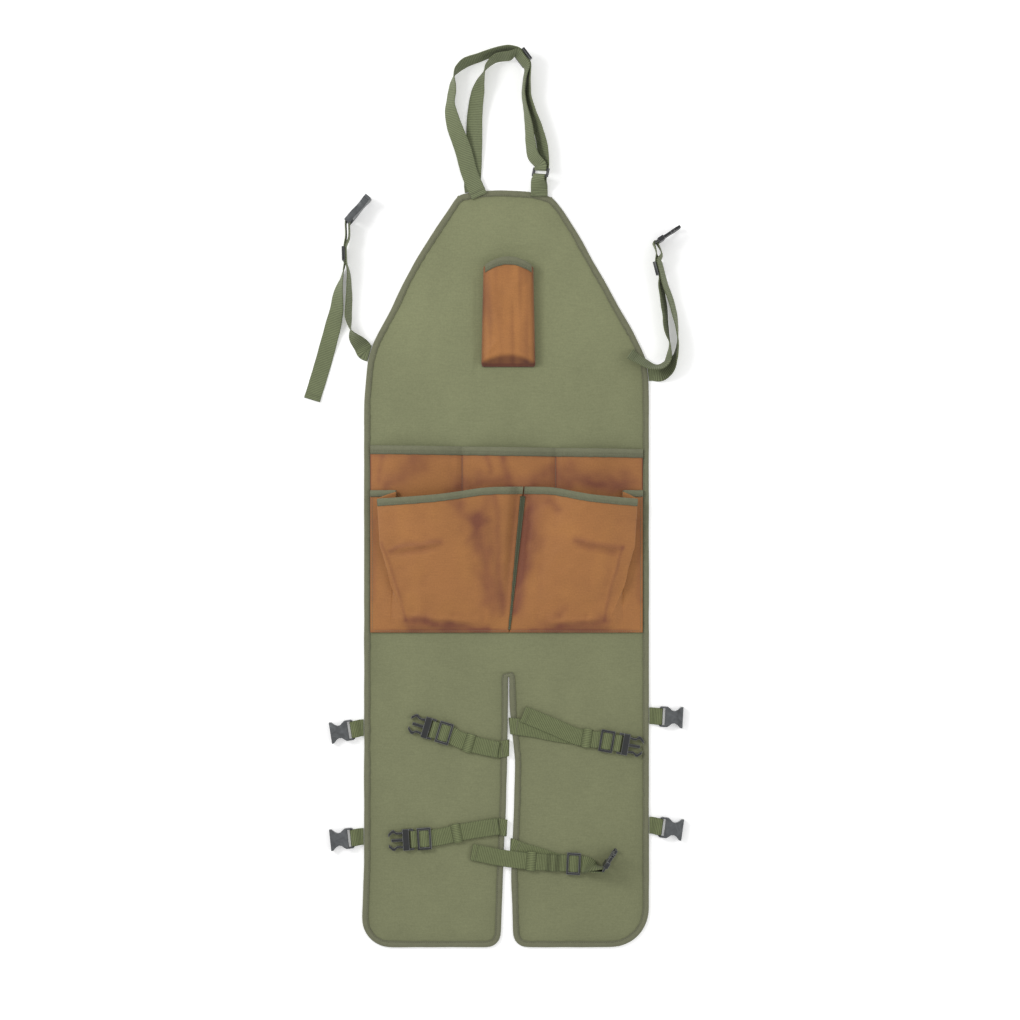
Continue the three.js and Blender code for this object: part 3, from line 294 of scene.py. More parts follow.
def scaled(tree, color, gain):
    """Colour times a value."""
    return add_node(tree, "VectorMath", {0: color, "Scale": gain}, operation="SCALE").outputs[0]


def bump(tree, height, strength, distance, normal=None):
    """Normal of a surface with a height on it, in metres, on top of another normal."""
    inputs = {"Height": height, "Strength": strength, "Distance": distance}
    if normal is not None:
        inputs["Normal"] = normal
    return add_node(tree, "Bump", inputs).outputs[0]


def new_group(name, inputs, outputs):
    """Empty shader node group; gives its tree, its inputs' values and its outputs' sockets."""
    tree = bpy.data.node_groups.new(name, "ShaderNodeTree")
    for label, value in inputs.items():
        kind = {"Base": "Color", "Vector": "Vector", "ShadeTint": "Vector"}.get(label, "Float")
        socket = tree.interface.new_socket(label, in_out="INPUT", socket_type="NodeSocket" + kind)
        if value is not None:
            socket.default_value = value
    for label in outputs:
        kind = "NodeSocketColor" if label == "Color" else "NodeSocketFloat"
        tree.interface.new_socket(label, in_out="OUTPUT", socket_type=kind)
    return tree, tree.nodes.new("NodeGroupInput").outputs, tree.nodes.new("NodeGroupOutput").inputs


def plain_weave_group():
    """Over and under threads: height sin(pi x / pitch) * sin(pi y / pitch), from 0 to 1, and
    a slower slub that makes single threads thicker."""
    tree, given, result = new_group("plain_weave", {"Vector": None, "Pitch": 0.0006}, ["Height", "Slub"])
    place = add_node(tree, "SeparateXYZ", {0: given["Vector"]}).outputs
    number = math_node(tree, "DIVIDE", math.pi, given["Pitch"])
    sines = [math_node(tree, "SINE", math_node(tree, "MULTIPLY", place[axis], number)) for axis in ("X", "Y")]
    half = math_node(tree, "MULTIPLY", math_node(tree, "MULTIPLY", *sines), 0.5)
    thread = add_node(tree, "Mapping", {"Vector": given["Vector"], "Scale": (60.0, 1400.0, 60.0)})
    tree.links.new(math_node(tree, "ADD", half, 0.5), result["Height"])
    tree.links.new(noise(tree, thread.outputs[0], 1.0, 1.0), result["Slub"])
    return tree


def cloth_tone_group():
    """Colour of dyed cloth with painted light and shade: base * (1 + clouds + slub + fine grain) * (1 +
    shade_tint * painted_shade * shade), so that it is darker where a mask paints shade in, as in folds, creases
    and seams, and lighter where the mask paints light in."""
    tree, given, result = new_group("cloth_tone", {
        "Vector": None, "Base": (0.2, 0.2, 0.1, 1.0), "Slub": 0.5, "PaintedShade": 0.0, "Clouds": 0.08, "Shade": 0.5,
        "ShadeTint": (-1.0, -1.0, -1.0)}, ["Color"])
    cloud = math_node(tree, "SUBTRACT", noise(tree, given["Vector"], 9.0, 5.0, Roughness=0.6), 0.5)
    broad = math_node(tree, "MULTIPLY", cloud, math_node(tree, "MULTIPLY", given["Clouds"], 2.5))
    slub = math_node(tree, "MULTIPLY", math_node(tree, "SUBTRACT", given["Slub"], 0.5), 0.22)
    grain = math_node(tree, "SUBTRACT", noise(tree, given["Vector"], 420.0, 3.0), 0.5)
    fine = math_node(tree, "MULTIPLY", grain, 0.34)
    gain = math_node(tree, "ADD", fine, math_node(tree, "ADD", broad, slub))
    dyed = scaled(tree, given["Base"], math_node(tree, "ADD", 1.0, gain))
    # painted shade times its strength; below 0 it is painted light
    folded = math_node(tree, "MULTIPLY", given["PaintedShade"], given["Shade"])
    keep = add_node(tree, "VectorMath", {0: folded, 1: given["ShadeTint"], 2: (1.0, 1.0, 1.0)},
                    operation="MULTIPLY_ADD").outputs[0]
    shaded = add_node(tree, "VectorMath", {0: dyed, 1: keep}, operation="MULTIPLY").outputs[0]
    tree.links.new(shaded, result["Color"])
    return tree


PLAIN_WEAVE = plain_weave_group()
CLOTH_TONE = cloth_tone_group()


def new_material(name, coordinates, **values):
    """Material with constant values on its shader; gives it, its tree, its shader's inputs
    and the coordinates that its patterns read."""
    made = bpy.data.materials.new(name)
    made.use_nodes = True
    shader = made.node_tree.nodes["Principled BSDF"].inputs
    for label, value in values.items():
        shader[label.replace("_", " ")].default_value = value
    return made, made.node_tree, shader, add_node(made.node_tree, "TexCoord").outputs[coordinates]


def cloth_material(name, color, pitch, depth, roughness, sheen, coordinates="Object", clouds=0.08,
                   shade=0.5, shade_tint=(-1.0, -1.0, -1.0)):
    """Dyed canvas: base colour times clouds and slub, a plain weave as a fine bump, and fine
    creases as a broad one. A mesh attribute called fold holds painted shade, which darkens the cloth, and
    painted light below 0, which lightens it."""
    made, tree, shader, where = new_material(
        name, coordinates, Roughness=roughness, Sheen_Weight=sheen, Sheen_Roughness=0.5, Specular_IOR_Level=0.3)
    weave = add_node(tree, "Group", {"Vector": where, "Pitch": pitch}, node_tree=PLAIN_WEAVE).outputs
    # painted shade and light, stored in the fold attribute
    inward = add_node(tree, "Attribute", attribute_name="fold").outputs["Fac"]
    tone = add_node(tree, "Group", {
        "Vector": where, "Base": (*color, 1.0), "Slub": weave["Slub"], "PaintedShade": inward, "Clouds": clouds,
        "Shade": shade, "ShadeTint": shade_tint}, node_tree=CLOTH_TONE)
    tree.links.new(tone.outputs["Color"], shader["Base Color"])
    creases = bump(tree, noise(tree, where, 38.0, 4.0), 0.35, 0.0016)
    tree.links.new(bump(tree, weave["Height"], 0.7, depth, creases), shader["Normal"])
    return made


def paint_light_and_shade(piece, values):
    """Stores painted shade at each point, from 0 to 1, and painted light below 0, as the attribute called fold
    that cloth and tape read.
    """
    layer = piece.data.attributes.new("fold", "FLOAT", "POINT")
    layer.data.foreach_set("value", values.astype(np.float32).ravel())


PANEL_CANVAS = cloth_material("panel_canvas", (0.206, 0.218, 0.117), 0.00055, 0.00010, 0.86, 0.15)

OUTLINE, OUTLINE_AT = resample(outline_points(), OUTLINE_STEP, closed=True)
OUTLINE = soften(OUTLINE, 10)


def top_edge(x):
    """Height of the bib's top edge."""
    return LENGTH - np.interp(x / HALF, TOP_ROWS[:, 0], TOP_ROWS[:, 1]) * BIB


def slit_edge(y, column):
    """Edge of the slit at a height, on the left (1) or right (2)."""
    down = SLIT_LENGTH * (1.0 - SLIT_ROWS[::-1, 0])
    return np.interp(y, down, SLIT_ROWS[::-1, column] * SLIT_WIDTH)


def panel_surface(rows, columns):
    """Top of the panel: z = its flat height + broad waves and a few long soft folds that fade
    out at the edges. Each row runs from edge to edge, with two columns for each side of the
    slit: x = left + u * (right - left)."""
    hem_height, inset = 60.0, 1.6
    slit_top = SLIT_LENGTH - 1.0
    bib = LENGTH - BIB_ROWS[::-1, 0] * BIB
    y = np.concatenate([
        np.linspace(1.5, hem_height, 50)[:-1], np.linspace(hem_height, slit_top, rows // 2)[:-1],
        np.linspace(slit_top, bib[-1], rows)])
    outer = np.interp(y, [0.0, FLARE_TOP], [HALF + HEM_FLARE, HALF])

    def corner(radius):
        inside = np.clip(radius - y, 0.0, radius)
        return radius - np.sqrt(np.maximum(radius ** 2 - inside ** 2, 0.0))

    left = -np.where(y < bib[0], outer - corner(LEFT_CORNER), np.interp(y, bib, BIB_ROWS[::-1, 1] * HALF))
    right = np.where(y < bib[0], HALF - corner(RIGHT_CORNER), np.interp(y, bib, BIB_ROWS[::-1, 2] * HALF))
    near = np.where(y < slit_top, inset, 0.0)
    slit_left = slit_edge(y, 1) - corner(SLIT_CORNER) - near
    slit_right = slit_edge(y, 2) + corner(SLIT_CORNER) + near
    u = np.linspace(0.0, 1.0, columns)
    x = np.concatenate([(left + inset)[:, None] * (1 - u) + slit_left[:, None] * u,
                        slit_right[:, None] * (1 - u) + (right - inset)[:, None] * u], 1)
    top = np.linspace(0.0, 1.0, 9)[1:, None]
    y_top = bib[-1] + top * (top_edge(x[-1]) - inset - bib[-1])
    return (np.concatenate([x, x[-1] * (1.0 - 0.03 * top)]),
            np.concatenate([np.repeat(y[:, None], x.shape[1], 1), y_top]))


# long soft folds of the panel: ends, width, height
PANEL_FOLDS = [
    ((-150, 905), (60, 840), 16.0, 0.9), ((180, 850), (20, 1060), 18.0, 0.7),
    ((-60, 1010), (-110, 880), 11.0, 0.6), ((95, 1000), (140, 900), 10.0, 0.6),
    ((-190, 420), (-30, 395), 12.0, 0.7), ((40, 405), (190, 440), 13.0, 0.7),
    ((-170, 90), (-60, 60), 14.0, 0.6), ((60, 60), (170, 110), 14.0, 0.6),
    ((-190, 250), (-60, 225), 10.0, 0.5), ((40, 230), (195, 210), 12.0, 0.5)]


def panel_relief(x, y):
    """Height in millimetres that the panel stands off the floor's plane, above its flat top."""
    return 0.55 + 0.55 * waves(x, y, 3, 150.0) + 0.22 * waves(x, y, 8, 52.0) + folds(x, y, PANEL_FOLDS)


PANEL_X, PANEL_Y = panel_surface(205, 65)
half_columns = PANEL_X.shape[1] // 2
inner_edges = PANEL_X[:, half_columns - 1:half_columns + 1, None]
slit_gap = np.where(PANEL_Y < SLIT_LENGTH + 3.0, np.abs(PANEL_X[:, None] - inner_edges).min(1), 99.0)
from_edge = np.minimum.reduce([
    PANEL_X - PANEL_X[:, :1], PANEL_X[:, -1:] - PANEL_X, slit_gap, PANEL_Y, LENGTH - 2.0 - PANEL_Y])
# the panel lies flat near its edges and under the pockets
covered = smooth(PANEL_Y, 455.0, 480.0) * (1.0 - smooth(PANEL_Y, 755.0, 775.0))
chest_cover = (np.abs(PANEL_X - 4.0) < 52.0) & (PANEL_Y > 855.0) & (PANEL_Y < 1050.0)
calm = smooth(from_edge, 9.0, 45.0) * (1.0 - covered) * (1.0 - chest_cover)
panel_z = PANEL_TOP + np.clip(panel_relief(PANEL_X, PANEL_Y), -0.2, 2.2) * calm
panel_grid = np.stack([PANEL_X, PANEL_Y, panel_z], -1)
open_slit = np.zeros((PANEL_X.shape[0] - 1, PANEL_X.shape[1] - 1), bool)
open_slit[PANEL_Y[1:, 0] < SLIT_LENGTH - 0.5, half_columns - 1] = True
panel = piece_from_grid("panel", panel_grid, panel_grid[..., :2], skip=open_slit)
thicken(panel, PANEL_THICKNESS, -1.0)
# painted light and shade on the panel: shade beside its bound edge, painted light on the upper body and bib,
# and the light and shade of soft wrinkles
painted_top_light = 0.24 * smooth(PANEL_Y, 640.0, 1000.0)
painted_wrinkle_shading = 0.05 * waves(PANEL_X, PANEL_Y, 12, 120.0) + 0.035 * waves(PANEL_X, PANEL_Y, 13, 42.0)
paint_light_and_shade(panel, 0.5 * np.exp(-from_edge / 10.0) - painted_top_light + painted_wrinkle_shading)
finish_piece(panel, PANEL_CANVAS, "panel_cloth", "main_panel")

# ---------------------------------------------------------------- edge binding
# Woven tape folded in half over the raw edge of the panel all the way round, and sewn down
# through both layers with one row of stitches near its inner edge.
BINDING_WIDTH = 9.0


def rib_group():
    """Cross ribs of a tape: height 0.78 |sin(pi u / pitch)|, with 0.22 of the thread's twist
    across them, and a slow change in tone along the tape."""
    tree, given, result = new_group(
        "tape_ribs", {"Vector": None, "Pitch": 0.0012, "Thread": 0.0008}, ["Height", "Tone"])
    place = add_node(tree, "SeparateXYZ", {0: given["Vector"]}).outputs
    along, across = (
        math_node(tree, "DIVIDE", math_node(tree, "MULTIPLY", place[axis], math.pi), given[pitch])
        for axis, pitch in (("X", "Pitch"), ("Y", "Thread")))
    slant = math_node(tree, "ADD", across, math_node(tree, "MULTIPLY", along, 0.5))
    rib, twist = (math_node(tree, "ABSOLUTE", math_node(tree, "SINE", way)) for way in (along, slant))
    rib, twist = math_node(tree, "MULTIPLY", rib, 0.78), math_node(tree, "MULTIPLY", twist, 0.22)
    tree.links.new(math_node(tree, "ADD", rib, twist), result["Height"])
    tree.links.new(noise(tree, given["Vector"], 120.0, 4.0), result["Tone"])
    return tree


TAPE_RIBS = rib_group()


def tape_material(name, color, pitch, thread, depth, roughness, contrast=0.35):
    """Woven tape or webbing on its own UV map: ribs as a bump, with painted shade between the ribs, added to
    the painted shade and light of the fold attribute.
    """
    made, tree, shader, where = new_material(
        name, "UV", Roughness=roughness, Sheen_Weight=0.12, Specular_IOR_Level=0.3)
    inputs = {"Vector": where, "Pitch": pitch, "Thread": thread}
    ribs = add_node(tree, "Group", inputs, node_tree=TAPE_RIBS).outputs
    # painted shade between the ribs, its strength set by contrast
    between = math_node(tree, "MULTIPLY", math_node(tree, "SUBTRACT", 0.62, ribs["Height"]), contrast)
    # painted shade and light stored in the fold attribute
    inward = add_node(tree, "Attribute", attribute_name="fold").outputs["Fac"]
    tone = add_node(tree, "Group", {
        "Vector": where, "Base": (*color, 1.0), "Slub": ribs["Tone"], "Clouds": 0.10, "Shade": 1.0,
        "PaintedShade": math_node(tree, "ADD", between, inward)}, node_tree=CLOTH_TONE)
    tree.links.new(tone.outputs["Color"], shader["Base Color"])
    tree.links.new(bump(tree, ribs["Height"], 0.8, depth), shader["Normal"])
    return made


BINDING_TAPE = tape_material("binding_tape", (0.176, 0.180, 0.112), 0.0009, 0.0009, 0.00018, 0.88)


def inward_of(ring):
    """Unit normals to the left of an anticlockwise ring, from the points either side."""
    run = np.roll(ring, -3, 0) - np.roll(ring, 3, 0)
    run /= np.linalg.norm(run, axis=1)[:, None]
    return np.stack([-run[:, 1], run[:, 0]], 1)


def band_uv(along, around):
    """UV map of a band in millimetres: u is the way along it, v the way round it."""
    return np.stack(np.broadcast_arrays(along[:, None], around[None, :]), -1)


def binding_ring():
    """Folded tape: a closed profile of (inset, z) carried round the outline, its upper leg
    crowned between the fold and the stitches, with small puckers from the sewing."""
    profile = np.array([
        (9.0, 0.05), (8.9, 0.95), (5.0, 0.9), (1.6, 1.0), (1.3, 2.0), (1.6, 3.2), (5.0, 3.2), (8.9, 3.25),
        (9.2, 3.6), (8.9, 4.05), (8.1, 4.2), (7.3, 3.95), (6.4, 4.3), (4.5, 4.55), (2.6, 4.5), (1.1, 4.1),
        (0.3, 3.3), (0.0, 2.3), (0.1, 1.2), (0.5, 0.4), (1.2, 0.05), (4.0, 0.0)])
    inward = inward_of(OUTLINE)
    pucker = waves(OUTLINE_AT, OUTLINE_AT * 0.0, 21, 11.0)
    wander = waves(OUTLINE_AT, OUTLINE_AT * 0.0, 22, 60.0)
    inset = profile[:, 0] + 0.35 * (pucker + wander)[:, None] * (profile[:, 0] > 5.9)
    inset = inset - 0.25 * wander[:, None] * (profile[:, 0] < 1.2)
    lift = 0.22 * pucker[:, None] * ((profile[:, 1] > 3.9) & (profile[:, 0] > 1.5))
    flat = OUTLINE[:, None] + inward[:, None] * inset[..., None]
    grid = np.concatenate([flat, np.maximum(profile[:, 1] + lift, 0.0)[..., None]], -1)
    grid = np.concatenate([grid, grid[:1]])
    along = np.concatenate([OUTLINE_AT, [OUTLINE_AT[-1] + OUTLINE_STEP]])
    return grid, band_uv(along, distances(profile)), pucker


binding_grid, binding_uv, binding_pucker = binding_ring()
binding = piece_from_grid("binding", binding_grid, binding_uv, ring=True)
# painted shade along the inner edge of the binding's upper leg and in the groove of its stitches
binding_shade = np.zeros(binding_grid.shape[:2])
binding_shade[:, 10:12] = 0.22
binding_shade[:, 8:9] = 0.30
paint_light_and_shade(binding, binding_shade)
finish_piece(close_doubles(binding), BINDING_TAPE, "binding_tape", "edge_binding")

# ---------------------------------------------------------------- rear pocket row
# A wide band of rust-coloured canvas sewn down along its bottom and sides and along two
# dividers, so that it makes three pockets whose mouths stand a little off the panel.
POCKET_BOTTOM = 472.0
REAR_MOUTH = 748.0
REAR_BOW = 12.0
POCKET_LEVEL = 3.8
POCKET_EDGE = HALF - BINDING_WIDTH - 0.6
REAR_SEAMS = np.array([-POCKET_EDGE, -66.5, 73.5, POCKET_EDGE])
POCKET_CANVAS = cloth_material(
    "pocket_canvas", (0.362, 0.154, 0.048), 0.00050, 0.00009, 0.66, 0.14, coordinates="UV", clouds=0.15,
    shade=1.0, shade_tint=(-0.72, -0.92, -0.44))
POCKET_THICKNESS = 1.1
TAPE_STEP = 1.52


def rear_mouth(x):
    """Height up the panel at which the mouth lies, a straight line that drops to one side."""
    return REAR_MOUTH - 3.0 * (x / HALF)


def rear_height(x, y):
    """Middle of the rear cloth: flat at its seams and bowed out at each mouth, as
    bow * smooth(y) * sin(pi s), with s the share of the way across its own pocket."""
    place = np.clip(np.searchsorted(REAR_SEAMS, x) - 1, 0, 2)
    share = np.clip((x - REAR_SEAMS[place]) / (REAR_SEAMS[place + 1] - REAR_SEAMS[place]), 0.0, 1.0)
    bow = REAR_BOW * smooth(y, 590.0, REAR_MOUTH) * np.sin(np.pi * share)
    return POCKET_LEVEL + TAPE_STEP * smooth(y, REAR_MOUTH - 40.0, REAR_MOUTH - 15.0) + bow


def rear_pocket_grid():
    """Rows from the bottom seam to the mouth, columns from side to side, with soft upright
    folds near the seams where the cloth is drawn in."""
    x, share = np.meshgrid(np.linspace(-POCKET_EDGE, POCKET_EDGE, 241), np.linspace(0.0, 1.0, 80))
    y = POCKET_BOTTOM + (rear_mouth(x) - POCKET_BOTTOM) * share
    z = rear_height(x, y)
    shown = smooth(y, 660.0, 715.0)
    off_seam = smooth(np.abs(x[..., None] - REAR_SEAMS).min(-1), 0.0, 14.0)
    z = z + 0.5 * waves(x, y * 0.35, 31, 34.0) * shown * off_seam
    for seam in REAR_SEAMS[1:3]:
        z = z - 0.6 * np.exp(-((x - seam) / 2.5) ** 2) * shown
        z = z + 0.9 * np.exp(-((np.abs(x - seam) - 9.0) / 4.0) ** 2) * shown
    return np.stack([x, y, np.maximum(z, 3.75)], -1)


def end_faces(rows, sides, turned=False):
    """Faces that close both ends of a tube of points, rows by sides; turned for a tube whose
    sides run the other way round."""
    first, last = list(range(sides)), list(range((rows - 1) * sides, rows * sides))
    return [first[::-1], last] if turned else [first, last[::-1]]


def tape_over(edge, inside, width, name):
    """Tape folded over a mouth: a closed profile in (down, out) carried along the edge, where
    down points into the pocket and out is along x down."""
    along = np.gradient(edge, axis=0)
    along /= np.linalg.norm(along, axis=1)[:, None]
    down = inside - edge
    down /= np.linalg.norm(down, axis=1)[:, None]
    out = np.cross(along, down)
    out /= np.linalg.norm(out, axis=1)[:, None]
    profile = np.array([
        (-1.5, -0.4), (-1.2, -1.3), (-0.3, -1.75), (3.0, -1.95), (6.0, -1.8), (7.3, -1.62), (8.4, -1.8),
        (width, -1.7), (width + 0.2, -1.3), (width, -0.95), (5.0, -0.95), (-0.2, -0.9), (-0.6, 0.0),
        (-0.2, 0.9), (5.0, 0.95), (width, 0.95), (width, 1.75), (4.0, 1.75), (-0.6, 1.7), (-1.4, 0.9)])
    at = distances(edge)
    pucker = 0.25 * waves(at, at * 0.0, 41, 10.0)[:, None] * (profile[:, 0] > 6.5)
    grid = (edge[:, None] + down[:, None] * (profile[:, 0] + pucker)[..., None]
            + out[:, None] * (profile[:, 1] - 0.5 * np.abs(pucker) * (profile[:, 1] < -1.0))[..., None])
    rows, sides = grid.shape[:2]
    tape = piece_from_grid(name, grid, band_uv(at, distances(profile)), ring=True,
                           extra=end_faces(rows, sides))
    # painted shade along the stitch groove and the lower edge of the tape's front face
    dark = np.zeros((rows, sides))
    dark[:, 4:7] = 0.14
    dark[:, 7:10] = 0.32
    paint_light_and_shade(tape, dark)
    return tape, (edge, down, -out)


def matching_rows(grid, mouth_row, inside_row, first, last, step=2.0):
    """The mouth and a row inside it between two columns, resampled alike."""
    both = np.concatenate([grid[mouth_row, first:last], grid[inside_row, first:last]], 1)
    lengths = distances(both[:, :3])
    both = columns_at(np.linspace(0.0, lengths[-1], int(lengths[-1] / step) + 1), lengths, both)
    return both[:, :3], both[:, 3:]


rear_grid = rear_pocket_grid()
rear_pocket = piece_from_grid("rear_pocket_cloth", rear_grid, rear_grid[..., :2])
thicken(rear_pocket, POCKET_THICKNESS, 0.0)


def shade_band(x, y, points, width, depth):
    """Soft band of painted shade along a chain of points: depth * exp(-(d / width)^2), where d is the
    distance to the nearest of its straight stretches, with the place shifted by waves."""
    x, y = x + width * 0.45 * waves(x, y, 36, 40.0), y + width * 0.45 * waves(x, y, 37, 36.0)
    near = np.full(x.shape, 1e9)
    for start, end in zip(np.array(points[:-1], float), np.array(points[1:], float)):
        run = end - start
        t = np.clip(((x - start[0]) * run[0] + (y - start[1]) * run[1]) / (run @ run), 0.0, 1.0)
        near = np.minimum(near, np.hypot(x - start[0] - t * run[0], y - start[1] - t * run[1]))
    return depth * np.exp(-(near / width) ** 2)


# chains of points, width and depth of the bands of painted shade in the folds
REAR_SHADE_BANDS = [
    ([(-180, 688), (-150, 712), (-126, 726)], 13.0, 0.30), ([(-76, 690), (-40, 698), (-8, 690)], 14.0, 0.36),
    ([(-6, 735), (2, 700), (10, 685)], 8.0, 0.30), ([(50, 690), (120, 692), (178, 688)], 12.0, 0.24),
    ([(24, 692), (48, 706), (74, 712), (112, 704), (150, 696), (178, 700)], 15.0, 0.34),
    ([(-30, 738), (-24, 712)], 4.0, 0.25), ([(-185, 738), (-192, 700)], 4.0, 0.2)]
rear_x, rear_y = rear_grid[..., 0], rear_grid[..., 1]
from_seam = np.abs(rear_x[..., None] - REAR_SEAMS).min(-1)
under_tape = REAR_MOUTH - 11.0 - rear_y
# painted shade beside the side seams and dividers, under the mouth's tape and in bands along the folds, varied
# at random
rear_painted_shade = 0.12 * np.exp(-from_seam / 6.0) + 0.55 * np.exp(-(from_seam / 1.3) ** 2)
rear_painted_shade += 0.22 * np.exp(-np.maximum(under_tape, 0.0) / 5.0) * (under_tape > 0.0)
rear_painted_shade += sum(shade_band(rear_x, rear_y, *row) for row in REAR_SHADE_BANDS)
rear_painted_shade *= 1.0 + 0.2 * waves(rear_x, rear_y, 33, 18.0)
paint_light_and_shade(rear_pocket, np.clip(rear_painted_shade, 0.0, 0.62))
finish_piece(rear_pocket, POCKET_CANVAS, "pocket_cloth", "rear_pocket")

rear_tape, REAR_TAPE_FRAME = tape_over(*matching_rows(rear_grid, -1, -4, 0, None), 11.5, "rear_pocket_tape")
finish_piece(rear_tape, BINDING_TAPE, "binding_tape", "rear_pocket_binding")

# ---------------------------------------------------------------- front pockets
# Two deep pockets of the same canvas, pleated at their outer sides so that they bulge, and
# sewn to the apron at the sides, along the bottom and to each other along a slanted seam.
FRONT_MOUTH = 689.0
FRONT_DEPTH = 24.0
FRONT_SAG = 18.0
LAYER = 1.8
SEAM_LEAN = 22.0
# columns: way up, crease and inner fold from the side seam (share of the pocket's width)
PLEAT_ROWS = np.array([
    (0, 0.3, 0.15), (0.09, 0.27, 0.14), (0.35, 0.16, 0.15), (0.65, 0.07, 0.155), (1, 0.05, 0.17)])
# columns: way from crease to seam, height (share of depth), drop of the mouth (share of sag)
BULGE_ROWS = np.array([
    (0, 0.62, 1), (0.2, 0.9, 0.85), (0.42, 1, 0.62), (0.6, 0.88, 0.32), (0.74, 0.62, 0.06),
    (0.82, 0.52, 0.03), (0.92, 0.42, 0.01), (1, 0, 0)])
# columns: way up, height (share of the bulge) at the crease and at the seam
RISE_ROWS = np.array([
    (0, 0, 0), (0.05, 0.4, 0.1), (0.1, 0.62, 0.25), (0.25, 0.72, 0.55), (0.5, 0.85, 0.85), (0.8, 1, 1),
    (1, 0.95, 0.95)])


def seam_place(share):
    """Where the slanted middle seam lies, from the bottom (0) to the mouth (1)."""
    return SLIT_ROWS[0, 2] * SLIT_WIDTH + SEAM_LEAN * share


def spline_columns(points, count):
    """Smooth curve through each row's points, by Catmull-Rom on the point's number:
    q(t) = (2b + (c - a) t + (2a - 5b + 4c - d) t^2 + (3b - a - 3c + d) t^3) / 2."""
    last = points.shape[1] - 1
    at = np.linspace(0.0, last, count)
    low = np.minimum(at.astype(int), last - 1)
    t = (at - low)[None, :, None]
    a, b = points[:, np.maximum(low - 1, 0)], points[:, low]
    c, d = points[:, low + 1], points[:, np.minimum(low + 2, last)]
    return (2 * b + (c - a) * t + (2 * a - 5 * b + 4 * c - d) * t ** 2 + (3 * b - a - 3 * c + d) * t ** 3) / 2.0


def front_pocket_grid(sign):
    """Each row runs from the side seam over the pleat's inner fold and crease, over the bulge
    and down to the middle seam; rows go from the bottom seam to the mouth."""
    share = np.concatenate([np.linspace(0.0, 0.12, 22)[:-1], np.linspace(0.12, 1.0, 78)])
    reach = POCKET_EDGE - sign * seam_place(share) - 1.0
    crease, inner = (np.interp(share, PLEAT_ROWS[:, 0], PLEAT_ROWS[:, k]) * reach for k in (1, 2))
    at_crease, at_seam = (np.interp(share, RISE_ROWS[:, 0], RISE_ROWS[:, k]) for k in (1, 2))
    crease_high = FRONT_DEPTH * BULGE_ROWS[0, 1] * at_crease
    fold_high = crease_high * 0.38
    folded = smooth(inner - crease, -2.0, 14.0)
    half, tip, back = 1.14 * folded, 2.64, 1.0 - 2.0 * folded
    flat = 0.0 * share
    away = [flat, inner * 0.5, inner - tip, inner, inner + tip * back, (inner + crease) / 2,
            crease - tip * back, crease]
    high = [flat, (fold_high - half) * 0.45, (fold_high - half) * 0.9, fold_high, fold_high + half,
            (fold_high + crease_high) / 2, crease_high - half, crease_high]
    drop = [flat + value for value in (0.3, 0.3, 0.3, 0.35, 0.4, 0.6, 0.85, 1.0)]
    for place in (0.03, 0.12, 0.25, 0.42, 0.58, 0.7, 0.8, 0.9, 0.96, 1.0):
        out = crease + tip * 0.4 + (reach - crease - tip * 0.4) * place
        rise = at_crease + (at_seam - at_crease) * place
        bulge, sag = (np.interp(place, BULGE_ROWS[:, 0], BULGE_ROWS[:, k]) for k in (1, 2))
        away.append(out)
        high.append((FRONT_DEPTH * bulge * rise + half) * smooth(reach - out, 6.0, 24.0))
        drop.append(flat + sag)
    points = spline_columns(np.stack([np.stack(away, 1), np.stack(high, 1), np.stack(drop, 1)], -1), 150)
    x = sign * (POCKET_EDGE - points[..., 0])
    y = POCKET_BOTTOM + (FRONT_MOUTH - points[..., 2] * FRONT_SAG - POCKET_BOTTOM) * share[:, None]
    z = rear_height(x, y) + LAYER + TAPE_STEP * smooth(share, 0.8, 0.94)[:, None]
    grid = np.stack([x, y, z + np.maximum(points[..., 1], 0.0)], -1)
    return grid if sign < 0 else grid[:, ::-1]


# creases of the worn cloth on the left (-1) and right (1) pocket: ends, width, height
FRONT_FOLDS = {
    -1: [((-172, 597), (-96, 607), 3.0, 2.4), ((-170, 589), (-100, 599), 5.0, -2.2),
         ((-186, 600), (-150, 500), 3.0, 1.5), ((-60, 600), (-20, 520), 6.0, -1.3),
         ((-35, 660), (-12, 500), 6.0, 1.6), ((-140, 497), (-40, 487), 4.0, 1.6),
         ((-90, 640), (-30, 560), 9.0, 1.0), ((-150, 560), (-110, 520), 8.0, 0.9)],
    1: [((104, 611), (172, 598), 3.0, 2.4), ((104, 602), (170, 589), 5.0, -2.2),
        ((168, 590), (146, 500), 3.0, 1.5), ((38, 650), (28, 520), 5.0, 1.6),
        ((58, 640), (46, 520), 7.0, -1.4), ((60, 487), (140, 492), 4.0, 1.6),
        ((80, 600), (60, 540), 9.0, 1.0), ((90, 560), (130, 520), 8.0, 0.9)]}


def press_folds(grid, sign):
    """Adds the creases of the worn cloth: two level ones from the outer side, wrinkles that
    run down beside the middle seam, and small ones along the bottom fold."""
    x, y = grid[..., 0], grid[..., 1]
    lift = folds(x, y, FRONT_FOLDS[sign])
    share = (y - POCKET_BOTTOM) / (FRONT_MOUTH - POCKET_BOTTOM)
    lift += 0.5 * waves(x, y, 51 + sign, 46.0) + 0.35 * waves(x, y, 61 + sign, 20.0)
    lift += 0.7 * waves(x, y * 0.3, 71 + sign, 15.0) * np.exp(-((share - 0.09) / 0.05) ** 2)
    room = np.clip(grid[..., 2] - rear_height(x, y) - LAYER, 0.0, None)
    calm = smooth(share, 0.0, 0.06) * (1.0 - smooth(share, 0.90, 0.955)) * smooth(room, 0.4, 5.0)
    grid = grid.copy()
    grid[..., 2] += lift * calm
    return grid


